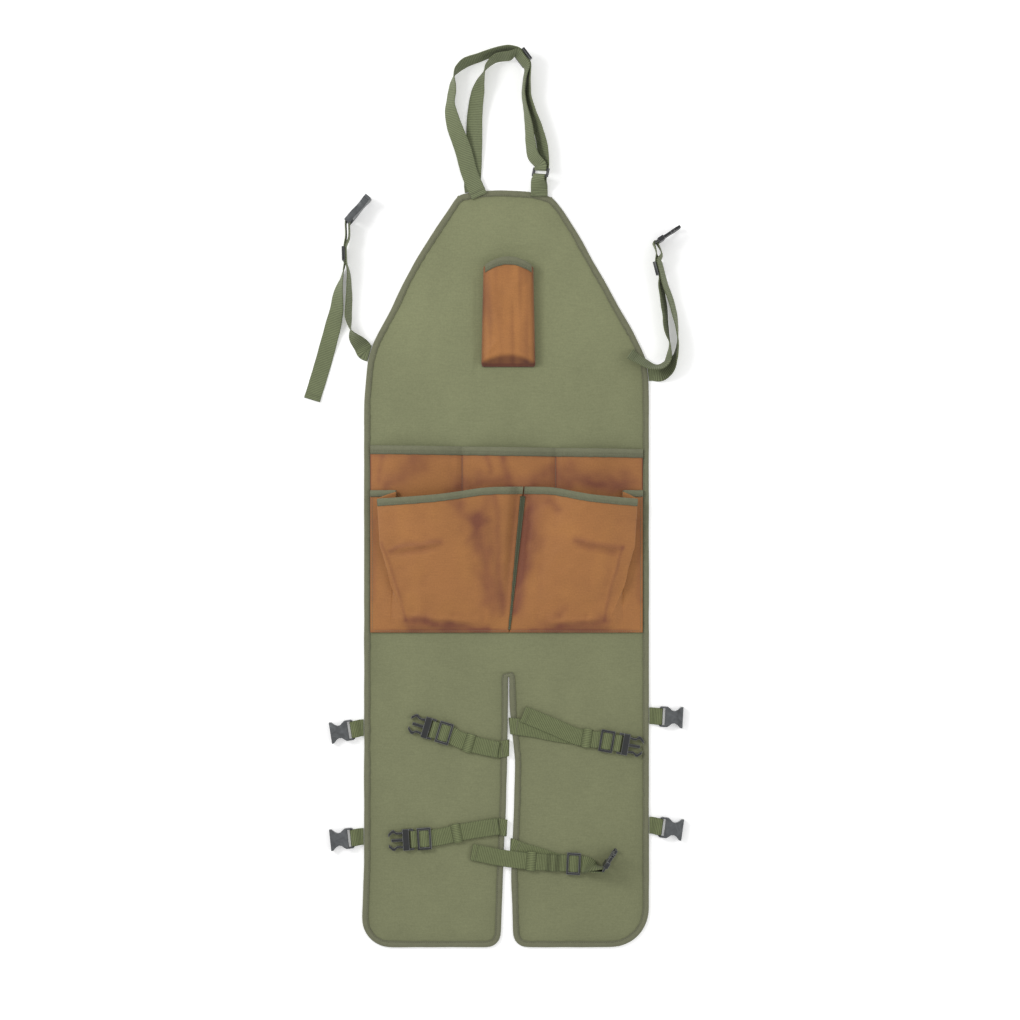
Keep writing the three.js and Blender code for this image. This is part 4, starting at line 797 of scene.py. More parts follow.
def crease_shade(grid, width=6):
    """Painted shade in creases: how far each point lies below the mean of those around it, from 0 to 1:
    box means along both ways of the grid."""
    z = grid[..., 2]
    mean = z.copy()
    for axis in (0, 1):
        mean = np.mean([np.roll(mean, s, axis) for s in range(-width, width + 1)], axis=0)
    return np.clip((mean - z) / 3.0, 0.0, 1.0)


# bands of painted shade along the folds of the left and right pocket: chains of points, width and depth
FRONT_SHADE_BANDS = {
    "left": [
        ([(-40, 640), (-38, 610), (-28, 560), (-20, 520)], 15.0, 0.34),
        ([(-80, 676), (-66, 652), (-48, 640)], 9.0, 0.26), ([(-30, 676), (-38, 650)], 12.0, 0.22),
        ([(-18, 682), (-14, 650), (-10, 560), (-6, 500)], 5.0, 0.22),
        ([(-172, 596), (-140, 604), (-98, 608)], 5.0, 0.30),
        ([(-148, 492), (-120, 491), (-70, 482), (-30, 476)], 6.0, 0.42),
        ([(-146, 482), (-110, 483), (-80, 478)], 8.0, 0.30),
        ([(-186, 606), (-166, 550), (-150, 492)], 2.6, 0.22),
        ([(-60, 606), (-44, 628), (-30, 640)], 6.0, 0.2), ([(-200, 520), (-198, 640)], 5.0, 0.18)],
    "right": [
        ([(30, 684), (32, 650), (26, 600), (18, 540), (12, 500)], 11.0, 0.44),
        ([(52, 676), (42, 640), (36, 600), (26, 560)], 14.0, 0.24), ([(62, 668), (76, 656)], 7.0, 0.2),
        ([(102, 611), (130, 604), (172, 598)], 5.0, 0.30),
        ([(62, 476), (90, 484), (130, 486), (146, 491)], 7.0, 0.34),
        ([(80, 478), (146, 478)], 7.0, 0.26), ([(174, 600), (156, 540), (146, 492)], 2.6, 0.22),
        ([(40, 478), (62, 488), (86, 508)], 7.0, 0.18), ([(200, 520), (198, 640)], 5.0, 0.18)]}
FRONT_TAPE_FRAMES = []
FRONT_GRIDS = {}


def front_tape_over(name, side_name, first, last, width, step):
    """Tape over a stretch of a front pocket's mouth, between columns counted from its side."""
    grid = FRONT_GRIDS[side_name]
    if side_name == "right":
        first, last = grid.shape[1] - last, grid.shape[1] - first
    edge_row, inside_row = matching_rows(grid, -1, -5, first, last, step)
    tape, tape_frame = tape_over(edge_row, inside_row, width, name + side_name)
    finish_piece(tape, BINDING_TAPE, "binding_tape", "front_pocket_" + side_name + "_binding")
    return tape, tape_frame


for side_name, sign in (("left", -1), ("right", 1)):
    front_grid = press_folds(front_pocket_grid(sign), sign)
    FRONT_GRIDS[side_name] = front_grid
    front = piece_from_grid("front_pocket_cloth_" + side_name, front_grid, front_grid[..., :2])
    thicken(front, POCKET_THICKNESS, 0.0)
    fx, fy = front_grid[..., 0], front_grid[..., 1]
    up_share = (fy - POCKET_BOTTOM) / (FRONT_MOUTH - POCKET_BOTTOM)
    # painted shade along the slanted middle seam, in bands along the folds and in creases, varied at random,
    # and lighter in broad patches
    dark = 0.45 * np.exp(-np.abs(fx - seam_place(up_share)) / 5.0) * smooth(up_share, 0.05, 0.4)
    dark = dark + sum(shade_band(fx, fy, *row) for row in FRONT_SHADE_BANDS[side_name])
    dark = dark * (1.0 + 0.18 * waves(fx, fy, 34, 22.0)) + 0.3 * crease_shade(front_grid)
    dark = dark - 0.10 * np.clip(waves(fx, fy, 35, 60.0), 0.0, 1.0)
    paint_light_and_shade(front, np.clip(dark, -0.12, 0.60))
    finish_piece(front, POCKET_CANVAS, "pocket_cloth", "front_pocket_" + side_name)
    columns = front_grid.shape[1]
    front_tape, tape_frame = front_tape_over("front_pocket_tape_", side_name, 62, columns, 9.5, 2.0)
    FRONT_TAPE_FRAMES.append(tape_frame)
    gusset_tape = front_tape_over("front_gusset_tape_", side_name, 0, 24, 7.0, 1.5)[0]

# ---------------------------------------------------------------- centre seam tape
# A narrow strip of tape that covers the raw edges of the front pockets where they meet. It
# tapers towards the bottom and is sewn through to the panel.


def seam_strip():
    """Closed profile of a flat strip carried up the slanted seam, its half width going evenly
    from 1.5 to 4 mm."""
    share = np.linspace(0.02, 0.94, 90)
    x = seam_place(share)
    y = POCKET_BOTTOM + (FRONT_MOUTH - POCKET_BOTTOM) * share
    z = rear_height(x, y) + LAYER + 1.2 + TAPE_STEP * smooth(share, 0.8, 0.94)
    half = 1.5 + 2.5 * share + 0.25 * waves(y, y * 0.0, 81, 12.0)
    profile = np.array([
        (-1.04, 0.4), (-0.95, 0.75), (-0.4, 0.95), (0.4, 0.95), (0.95, 0.75), (1.04, 0.4), (1, 0.0),
        (-1, 0.0)])
    across = x[:, None] + half[:, None] * profile[:, 0]
    grid = np.stack([across, np.broadcast_to(y[:, None], across.shape), z[:, None] + profile[:, 1]], -1)
    return grid, band_uv(y, np.arange(8)[::-1] * 1.5)


# the seam tape is a darker copy of the binding tape: painted shade of the recess between the two pockets
SHADED_SEAM_TAPE = tape_material("seam_tape", (0.062, 0.070, 0.040), 0.0009, 0.0009, 0.00018, 0.9)
strip_grid, strip_uv = seam_strip()
seam_tape = piece_from_grid("seam_tape", strip_grid, strip_uv, ring=True,
                            extra=end_faces(*strip_grid.shape[:2]))
finish_piece(seam_tape, SHADED_SEAM_TAPE, "binding_tape", "centre_seam_tape")

# ---------------------------------------------------------------- chest pocket
# A narrow box pocket of the rust canvas on the bib, with steep sides and a gusset at its
# bottom, open at an arched mouth that is bound with tape.
CHEST_BOTTOM = 870.0
CHEST_HEIGHT = 148.0
CHEST_ARCH = 14.0
CHEST_WIDTH = 80.0
CHEST_TAPER = 6.0
CHEST_DEPTH = 18.0
CHEST_X = seam_place(0) - 1.0
CHEST_CANVAS = cloth_material(
    "chest_canvas", (0.358, 0.150, 0.046), 0.00050, 0.00009, 0.62, 0.16, coordinates="UV", clouds=0.16,
    shade=1.0, shade_tint=(-0.74, -0.86, -0.62))
CHEST_FOLDS = [
    ((-20, 1000), (24, 930), 8.0, -0.9), ((-24, 960), (10, 900), 7.0, 0.9), ((30, 1005), (6, 985), 5.0, 0.8),
    ((-28, 890), (-8, 915), 4.0, 0.9), ((34, 892), (18, 912), 4.0, 0.9)]


def chest_grid_of(rows=110, columns=121):
    """Rows go up from the bottom seam. Across each, x = half * c |c|^-.5 and z = depth *
    |s|^.5 with c and s the cosine and sine of the way round, a squared-off arch."""
    share = np.linspace(0.0, 1.0, rows)[:, None]
    angle = np.pi * (1.0 - np.linspace(0.0, 1.0, columns))[None, :]
    across = np.sign(np.cos(angle)) * np.abs(np.cos(angle)) ** 0.5
    out = np.abs(np.sin(angle)) ** 0.5
    crease = 0.04 + 0.075 * (1.0 - across ** 2)
    deep = CHEST_DEPTH * smooth(share, -0.02, crease + 0.02)
    half = (CHEST_WIDTH - CHEST_TAPER * share) / 2.0 - 3.5 * (1.0 - smooth(share, -0.03, 0.035))
    y = CHEST_BOTTOM + (CHEST_HEIGHT + CHEST_ARCH * (1.0 - across ** 2)) * share
    x = CHEST_X + across * half
    z = POCKET_LEVEL + deep * out
    relief = folds(x, y, CHEST_FOLDS) + 0.45 * waves(x, y, 91, 30.0) + 0.2 * waves(x, y, 92, 12.0)
    calm = smooth(share, 0.03, 0.1) * (1.0 - smooth(share, 0.88, 0.95)) * smooth(out, 0.55, 0.9)
    return np.stack([x, y, z + relief * calm], -1), share, crease, out


chest_grid, chest_share, chest_crease, chest_out = chest_grid_of()
around_chest = np.cumsum(np.linalg.norm(np.diff(chest_grid, axis=1, prepend=chest_grid[:, :1]), axis=2), 1)
chest = piece_from_grid("chest_pocket_cloth", chest_grid, np.stack([around_chest, chest_grid[..., 1]], -1))
thicken(chest, POCKET_THICKNESS, 0.0)
chest_x, chest_y = chest_grid[..., 0], chest_grid[..., 1]
# painted shade in the gusset below the crease, on the steep sides, in upright streaks, under the mouth's tape
# and in creases, and a painted highlight down the middle
chest_light_and_shade = 0.66 * (1.0 - smooth(chest_share, chest_crease - 0.035, chest_crease + 0.012))
chest_light_and_shade = chest_light_and_shade + 0.42 * (1.0 - smooth(chest_out, 0.55, 0.98))
chest_light_and_shade = chest_light_and_shade + 0.30 * np.clip(waves(chest_x, chest_y * 0.14, 93, 15.0), -0.3, 1.0)
chest_light_and_shade = chest_light_and_shade - 0.10 * np.exp(-((chest_x - CHEST_X - 4.0) / 13.0) ** 2)
chest_light_and_shade = chest_light_and_shade + 0.22 * np.exp(-(1.0 - chest_share) / 0.06) + 0.3 * crease_shade(chest_grid, 4)
paint_light_and_shade(chest, np.clip(chest_light_and_shade, -0.15, 0.85))
finish_piece(chest, CHEST_CANVAS, "pocket_cloth", "chest_pocket")

chest_edge, chest_inner = matching_rows(chest_grid, -1, -8, 23, 98, 1.5)
chest_tape, CHEST_TAPE_FRAME = tape_over(chest_edge, chest_inner, 10.5, "chest_pocket_tape")
finish_piece(chest_tape, BINDING_TAPE, "binding_tape", "chest_pocket_binding")

# ---------------------------------------------------------------- neck strap and its tab
# A long length of flat woven webbing, sewn to the top of the bib at one side. It runs up
# behind the slider, round the ring on the short tab, back over the slider and ends in a tail.
WEBBING_WIDTH = 25.0
WEBBING_THICKNESS = 1.6
GAP = 0.3
BAR_RADIUS = 1.5
WRAP_RADIUS = BAR_RADIUS + GAP + WEBBING_THICKNESS / 2
PAIR_GAP = WEBBING_THICKNESS + GAP
HARDWARE_WIDTH = 33.0
SLIDER_LENGTH = 21.0
PASS_END = SLIDER_LENGTH / 2 + 1.2
BINDING_TOP = 4.2
STANDING = 3 * GAP + HARDWARE_WIDTH / 2
RING_LENGTH = 14.0
NECK_WIDTH = 140.0
NECK_HEIGHT = 210.0
UP = np.array([0.0, 0.0, 1.0])
NECK_WEBBING = tape_material("neck_webbing", (0.161, 0.184, 0.098), 0.0025, 0.0016, 0.00050, 0.80, 1.0)
# columns: across and up from the bib's top (shares of the loop's width and height), roll in
# degrees, lift
NECK_RISE = np.array([
    (-0.356, 0.16, 3, 0), (-0.346, 0.36, 12, 0), (-0.338, 0.538, 22, 0), (-0.306, 0.695, 38, 0),
    (-0.255, 0.813, 74, 0), (-0.209, 0.877, 97, 0), (-0.109, 0.931, 114, 2.4), (0.025, 0.944, 116, 5.8)])
NECK_INNER = np.array([
    (0.195, 0.79, 100, 3), (0.18, 0.68, 98, 0), (0.204, 0.574, 102, 0), (0.23, 0.49, 112, 0),
    (0.256, 0.34, 124, 0), (0.282, 0.24, 130, 3.2)])
NECK_OUTER = np.array([
    (0.392, 0.215, 48, 0), (0.386, 0.29, 51, 0), (0.352, 0.395, 57, 0), (0.308, 0.488, 62, 0),
    (0.263, 0.574, 66, 0), (0.228, 0.68, 70, 0), (0.232, 0.78, 76, 3)])
NECK_TAIL = np.array([
    (0.025, 0.99, 68, 5), (-0.155, 0.968, 68, 2), (-0.286, 0.938, 69, 0), (-0.437, 0.902, 63, 0),
    (-0.526, 0.854, 74, 0), (-0.5625, 0.809, 92, 0), (-0.574, 0.75, 112, 0), (-0.582, 0.683, 122, 0),
    (-0.6, 0.62, 120, 0), (-0.59, 0.541, 138, 0), (-0.568, 0.474, 150, 1), (-0.53, 0.402, 162, 3.5),
    (-0.466, 0.288, 173, 4.6), (-0.391, 0.109, 180, 4.6), (-0.29, -0.045, 180, 4.6)])


def unit(vector):
    """Vector of length 1."""
    return vector / np.linalg.norm(vector)


def roll_vector(travel, roll):
    """Way across a strap: cos(roll) * left of the travel - sin(roll) * up."""
    left = unit(np.array([-travel[1], travel[0], 0.0]))
    return math.cos(math.radians(roll)) * left - math.sin(math.radians(roll)) * UP


def stop_at(point, roll=0.0, across=None, firm=False):
    """One stop of a strap's route."""
    return {"point": np.array(point, float), "roll": roll, "across": across, "firm": firm}


def free_stops(rows):
    """Stops of a stretch that stands or lies on its lower edge: z = half the strap's height
    at its roll, plus the row's lift."""
    turn = np.radians(rows[:, 2])
    tall = WEBBING_THICKNESS / 2 * np.abs(np.cos(turn)) + WEBBING_WIDTH / 2 * np.abs(np.sin(turn))
    z = 1.6 * GAP + tall + rows[:, 3]
    return [stop_at((row[0], row[1], height), row[2]) for row, height in zip(rows, z)]


def seat(x, y, z, heading, roll):
    """Place on a strap's route where hardware sits: its middle, travel, width and outward
    ways."""
    travel = unit(np.array([heading[0], heading[1], 0.0]))
    across = roll_vector(travel, roll)
    middle = np.array([x, y, z], float)
    return {"point": middle, "travel": travel, "across": across, "out": np.cross(travel, across)}


def on_seat(place, along, out):
    """Firm stop at a distance along a seat and off it."""
    point = place["point"] + along * place["travel"] + out * place["out"]
    return stop_at(point, across=place["across"], firm=True)


def first_pass(place):
    """The strap lies flat behind the slider."""
    return [on_seat(place, along, -PAIR_GAP / 2) for along in (-PASS_END, PASS_END)]


def second_pass(place):
    """The strap comes back in front of the first pass and rises over the slider's middle
    bar."""
    rows = [(PASS_END, 0.0), (SLIDER_LENGTH / 2 - 3.6, 0.0), (1.8, 2.6)]
    before = [on_seat(place, along, PAIR_GAP / 2 + rise) for along, rise in rows]
    return before + [on_seat(place, -along, PAIR_GAP / 2 + rise) for along, rise in rows[::-1]]


def wrap(place, lead=4.0):
    """Half turn round a bar: along = r sin a, out = -r cos a, with a straight lead either
    side."""
    turn = [on_seat(place, WRAP_RADIUS * math.sin(a), -WRAP_RADIUS * math.cos(a))
            for a in np.linspace(0.0, np.pi, 9)]
    return [on_seat(place, -lead, -WRAP_RADIUS), *turn, on_seat(place, -lead, WRAP_RADIUS)]


def strap_line(stops, step=2.5):
    """Middle line, width and outward ways of a strap: a centripetal Catmull-Rom curve through
    the stops, straight between firm ones, with the width way turned evenly in between."""
    points = np.array([s["point"] for s in stops])
    last = len(points) - 1
    ways = [s["across"] if s["across"] is not None
            else roll_vector(points[min(i + 1, last)] - points[max(i - 1, 0)], s["roll"])
            for i, s in enumerate(stops)]
    ends = np.concatenate([[2 * points[0] - points[1]], points, [2 * points[-1] - points[-2]]])
    line, width, free = [], [], []
    for i in range(last):
        a, b, c, d = ends[i:i + 4]
        firm = [stop["firm"] for stop in stops[i:i + 2]]
        bend = math.degrees(math.acos(np.clip(ways[i] @ ways[i + 1], -1.0, 1.0)))
        parts = max(2, int(round(max(np.linalg.norm(c - b) / step, bend / 4.0))))
        t = (np.arange(parts) / parts)[:, None]
        if all(firm):
            line.append(b + (c - b) * t)
        else:
            k0, k1, k2 = (max(np.linalg.norm(q - p), 1e-3) ** 0.5 for p, q in ((a, b), (b, c), (c, d)))
            m1 = ((b - a) / k0 - (c - a) / (k0 + k1) + (c - b) / k1) * k1
            m2 = ((c - b) / k1 - (d - b) / (k1 + k2) + (d - c) / k2) * k1
            line.append(b + m1 * t + (3 * (c - b) - 2 * m1 - m2) * t ** 2 + (2 * (b - c) + m1 + m2) * t ** 3)
        width.append(ways[i] * (1 - t) + ways[i + 1] * t)
        free.append(np.full(parts, 0.0 if any(firm) else 1.0))
    line = np.concatenate(line + [points[-1:]])
    width = np.concatenate(width + [ways[-1][None]])
    free = np.concatenate(free + [free[-1][-1:]])
    for _ in range(2):
        line[1:-1] = (line[:-2] + 2 * line[1:-1] + line[2:]) / 4
        width[1:-1] = (width[:-2] + 2 * width[1:-1] + width[2:]) / 4
    travel = np.gradient(line, axis=0)
    travel /= np.linalg.norm(travel, axis=1)[:, None]
    width -= (width * travel).sum(1)[:, None] * travel
    width /= np.linalg.norm(width, axis=1)[:, None]
    out = np.cross(travel, width)
    lowest = line[:, 2] - (np.abs(width[:, 2]) * WEBBING_WIDTH + np.abs(out[:, 2]) * WEBBING_THICKNESS) / 2
    line[:, 2] += np.maximum(GAP - lowest, 0.0)
    return line, width, out, free


STRAP_PROFILE = np.array([
    (12.5, 0.0), (12.35, 0.45), (11.8, 0.75), (10.8, 0.85), (6.0, 0.8), (0.0, 0.8), (-6.0, 0.8),
    (-10.8, 0.85), (-11.8, 0.75), (-12.35, 0.45), (-12.5, 0.0), (-12.35, -0.45), (-11.8, -0.75),
    (-10.8, -0.85), (-6.0, -0.8), (0.0, -0.8), (6.0, -0.8), (10.8, -0.85), (11.8, -0.75), (12.35, -0.45)])
STRAP_LINES = {}


def strap(name, stops, material, seed, *nodes, ripple=0.25, tail=0.0, hem=False):
    """Flat woven strap: the closed profile carried along its line, with slight ripples where
    it is free, larger ones along a tail, and a turned hem that is twice as thick. It carries
    painted shade along its edges, on its hem line and where a flat stretch climbs: 0.45 * smooth(|dz/ds|) *
    |out z|."""
    line, width, out, free = strap_line(stops)
    at = distances(line)
    left = at[-1] - at
    loose = soften(np.concatenate([free, free[::-1]]), 6)[:len(free)]
    size = ripple + tail * (1.0 - smooth(left, 40.0, 150.0))
    side = STRAP_PROFILE[:, 0][None, :]
    lift = (size * loose)[:, None] * waves(at[:, None], side * 0.5, seed, 24.0)
    lift += 0.12 * loose[:, None] * waves(at[:, None], side, seed + 1, 9.0)
    thick = 1.0 + (0.75 * (1.0 - smooth(left, 7.5, 8.6)) if hem else 0.0 * left)
    edge = 1.0 + 0.012 * loose * waves(at, at * 0.0, seed + 2, 18.0)
    grid = (line[:, None] + width[:, None] * (side * edge[:, None])[..., None]
            + out[:, None] * (STRAP_PROFILE[:, 1] * thick[:, None] + lift)[..., None])
    grid[..., 2] = np.maximum(grid[..., 2], 0.15)
    rows, sides = grid.shape[:2]
    piece = piece_from_grid(name, grid, band_uv(at, distances(STRAP_PROFILE)), ring=True,
                            extra=end_faces(rows, sides, turned=True))
    # painted shade along the strap's edges, on its hem line and where a flat stretch climbs
    hem_line = 0.30 * np.exp(-((left - 8.2) / 0.6) ** 2) * hem
    dark = 0.10 * (np.abs(side) > 11.0) + hem_line[:, None]
    climb = np.abs(np.gradient(line[:, 2])) / np.linalg.norm(np.gradient(line, axis=0), axis=1)
    dark = dark + (0.45 * smooth(climb, 0.08, 0.5) * np.abs(out[:, 2]) * loose)[:, None]
    paint_light_and_shade(piece, dark)
    STRAP_LINES[name] = (line, width, out, at)
    finish_piece(piece, material, "webbing", *nodes)


def neck_stops(table):
    """Stops of a table whose places are shares of the neck loop's width and height."""
    spread = np.array([NECK_WIDTH, NECK_HEIGHT, 1.0, 1.0])
    return free_stops(table * spread + np.array([0.0, LENGTH, 0.0, 0.0]))


def sewn_end(x, y, outward, length=7.0):
    """Two firm stops that lie flat, square to the edge behind which a strap starts."""
    across = np.array([-outward[1], outward[0], 0.0])
    level = GAP + WEBBING_THICKNESS / 2
    return [stop_at((x + outward[0] * away, y + outward[1] * away, level), across=across, firm=True)
            for away in (2 * GAP, length)]


neck_slider_seat = seat(0.171 * NECK_WIDTH, LENGTH + 0.927 * NECK_HEIGHT, STANDING, (0.6, -0.8), 115.0)
neck_ring_seat = seat(0.365 * NECK_WIDTH, LENGTH + 0.12 * NECK_HEIGHT, STANDING * 0.78, (-0.2, -0.98), 135.0)
ring_reach = RING_LENGTH / 2 - BAR_RADIUS
upper_bar = {**neck_ring_seat, "point": on_seat(neck_ring_seat, -ring_reach, 0.0)["point"]}
neck_lean = unit(np.array([top_edge(-62.5) - top_edge(-37.5), WEBBING_WIDTH]))
strap("neck_strap_webbing", [
    *sewn_end(-50.0, top_edge(-50.0) + 2 * GAP, neck_lean), *neck_stops(NECK_RISE),
    *first_pass(neck_slider_seat), *neck_stops(NECK_INNER), *wrap(upper_bar), *neck_stops(NECK_OUTER),
    *second_pass(neck_slider_seat), *neck_stops(NECK_TAIL)],
    NECK_WEBBING, 101, "neck_strap", ripple=0.35, tail=0.2, hem=True)

TAB_X = 49.0
TAB_LEVEL = BINDING_TOP + GAP + WEBBING_THICKNESS / 2
lower_bar = seat(0.0, 0.0, 0.0, (0.2, 0.98), 45.0)
lower_bar["point"] = on_seat(neck_ring_seat, ring_reach, 0.0)["point"]
tab_stops = [stop_at((TAB_X, LENGTH + up, TAB_LEVEL + level), across=np.array([-1.0, 0.0, 0.0]))
             for up, level in ((-10.0, 0.0), (0.0, 0.0), (0.0, PAIR_GAP), (-10.0, PAIR_GAP))]
strap("neck_tab_webbing", [*tab_stops[:2], *wrap(lower_bar), *tab_stops[2:]], NECK_WEBBING, 111, "neck_tab",
      ripple=0.0)

# ---------------------------------------------------------------- waist straps
# One at each side of the waist: sewn behind the binding, run up through a slider to the
# buckle's bar and back, with a long hemmed tail that lies beside it.
WAIST_REACH = 180.0
WAIST_WEBBING = tape_material("waist_webbing", (0.151, 0.173, 0.090), 0.0025, 0.0016, 0.00050, 0.82, 1.0)
# columns: across and up from the sewn end (shares of the reach), roll in degrees, lift
WAIST_LEFT_INNER = np.array([
    (-0.063, 0.056, 14, 0), (-0.125, 0.13, 48, 0), (-0.158, 0.2, 90, 0), (-0.176, 0.3, 112, 0),
    (-0.171, 0.426, 110, 0), (-0.17, 0.556, 103, 0), (-0.174, 0.672, 95, 2)])
WAIST_LEFT_LOOP = np.array([(-0.168, 0.95, 90, 4)])
WAIST_LEFT_BACK = np.array([(-0.192, 0.97, 90, 4)])
WAIST_LEFT_TAIL = np.array([
    (-0.212, 0.7, 92, 2), (-0.224, 0.639, 100, 0), (-0.246, 0.564, 114, 0), (-0.262, 0.48, 130, 0),
    (-0.274, 0.364, 148, 0), (-0.303, 0.239, 166, 0), (-0.354, 0.047, 178, 0), (-0.408, -0.144, 180, 0),
    (-0.4825, -0.386, 180, 0)])
WAIST_RIGHT_INNER = np.array([
    (0.101, -0.004, 6, 0), (0.172, 0.042, 35, 0), (0.222, 0.121, 72, 0), (0.2456, 0.233, 90, 0),
    (0.243, 0.342, 98, 0), (0.222, 0.475, 110, 0), (0.187, 0.61, 114, 0), (0.145, 0.72, 113, 2)])
WAIST_RIGHT_LOOP = np.array([(0.115, 0.975, 98, 4)])
WAIST_RIGHT_BACK = np.array([(0.07, 0.985, 86, 4)])
WAIST_RIGHT_TAIL = np.array([
    (0.108, 0.735, 68, 2), (0.122, 0.633, 66, 0), (0.14, 0.5, 68, 0), (0.153, 0.35, 71, 0),
    (0.18, 0.246, 86, 0), (0.173, 0.15, 104, 1), (0.155, 0.085, 108, 6), (0.101, 0.046, 109, 6.5),
    (0.044, 0.046, 111, 6), (-0.036, 0.08, 124, 5), (-0.109, 0.128, 130, 5), (-0.153, 0.156, 132, 5)])


def side_point(y, sign):
    """Place across of the apron's outer edge at a height, and the unit way out of it."""
    rows = BIB_ROWS[::-1]
    bib = LENGTH - rows[:, 0] * BIB

    def edge(height):
        if height < bib[0]:
            return sign * np.interp(height, [0.0, FLARE_TOP], [HALF + (HEM_FLARE if sign < 0 else 0.0), HALF])
        return sign * np.interp(height, bib, rows[:, 1 if sign < 0 else 2] * HALF)

    above, below = edge(y + WEBBING_WIDTH / 2), edge(y - WEBBING_WIDTH / 2)
    return edge(y), unit(np.array([sign * WEBBING_WIDTH, -sign * (above - below)]))


def waist_strap(side, sign, y, tables, slider, bar):
    """Strap of one side: its stops are shares of the reach from its sewn end."""
    x, outward = side_point(y, sign)
    spread = np.array([WAIST_REACH, WAIST_REACH, 1.0, 1.0])
    inner, loop, back, tail = (
        free_stops(table * spread + np.array([x, y, 0.0, 0.0])) for table in tables)
    slider_seat, bar_seat = (
        seat(x + place[0] * WAIST_REACH, y + place[1] * WAIST_REACH, STANDING, place[2:4], place[4])
        for place in (slider, bar))
    strap("waist_strap_webbing_" + side, [
        *sewn_end(x, y, outward), *inner, *first_pass(slider_seat), *loop, *wrap(bar_seat), *back,
        *second_pass(slider_seat), *tail],
        WAIST_WEBBING, 120 + sign * 5, "waist_strap_" + side, ripple=0.3, tail=0.5, hem=True)


# slider and bar: across and up (shares of the reach), heading, roll
waist_strap("left", -1, 890.0, (WAIST_LEFT_INNER, WAIST_LEFT_LOOP, WAIST_LEFT_BACK, WAIST_LEFT_TAIL),
            (-0.1986, 0.819, -0.03, 1.0, 90.0), (-0.179, 1.089, 0.1, 0.99, 90.0))
waist_strap("right", 1, 861.0, (WAIST_RIGHT_INNER, WAIST_RIGHT_LOOP, WAIST_RIGHT_BACK, WAIST_RIGHT_TAIL),
            (0.1, 0.865, -0.25, 0.97, 112.0), (0.056, 1.071, -0.5, 0.87, 90.0))

# ---------------------------------------------------------------- leg straps and stubs
# Each leg has two straps sewn behind the slit's binding that fold back over the leg, pass a
# keeper and a slider, go round the buckle's bar and come back. Short doubled stubs at the
# outer edges hold the other buckle halves.
LEG_WEBBING = tape_material("leg_webbing", (0.145, 0.168, 0.077), 0.0025, 0.0016, 0.00050, 0.82, 1.0)
KEEPER_THICKNESS = 1.2
KEEPER_BASE = PANEL_TOP + GAP
FEMALE_HEIGHT = 9.5
MALE_HEIGHT = 7.0
STUB_REACH = 15.0
LOWER_LAYER = max(KEEPER_BASE + KEEPER_THICKNESS, BINDING_TOP) + GAP + WEBBING_THICKNESS / 2
UPPER_LAYER = LOWER_LAYER + PAIR_GAP
# columns: side, height, turn down in degrees
STUB_ROWS = {"upper_left": (-1, 329.0, 9.0), "lower_left": (-1, 166.0, 6.0),
             "upper_right": (1, 347.0, -3.0), "lower_right": (1, 183.0, -8.0)}
# routes from the slit's edge, as pairs of shares of the strap's reach: away and up
LEG_ROWS = {
    "upper_left": dict(
        sign=-1, start=299.0, reach=111.0, base=[(0.12, -0.022), (0.33, 0.02)], keeper_at=(0.515, 0.068),
        near=(0.68, 0.13), slider=(0.85, 0.205), bar=(1.0, 0.25), tail=[(0.33, 0.02), (0.12, -0.022)]),
    "upper_right": dict(
        sign=1, start=332.0, reach=161.0, base=[(0.2, -0.028), (0.4, -0.068), (0.62, -0.101)],
        keeper_at=(0.7, -0.114), near=(0.78, -0.126), slider=(0.887, -0.14), bar=(1.0, -0.16),
        tail=[(0.62, -0.101), (0.38, 0.0), (0.108, 0.112)]),
    "lower_left": dict(
        sign=-1, start=179.0, reach=138.0, base=[(0.07, 0.02), (0.28, -0.01)], keeper_at=(0.525, -0.054),
        near=(0.71, -0.095), slider=(0.876, -0.112), bar=(1.0, -0.12), tail=[(0.28, -0.01), (0.07, 0.02)])}
KEEPER_PROFILE = np.array([
    (6.5, 0.0), (6.35, 0.4), (5.9, 0.6), (0.0, 0.6), (-5.9, 0.6), (-6.35, 0.4), (-6.5, 0.0),
    (-6.35, -0.4), (-5.9, -0.6), (0.0, -0.6), (5.9, -0.6), (6.35, -0.4)])


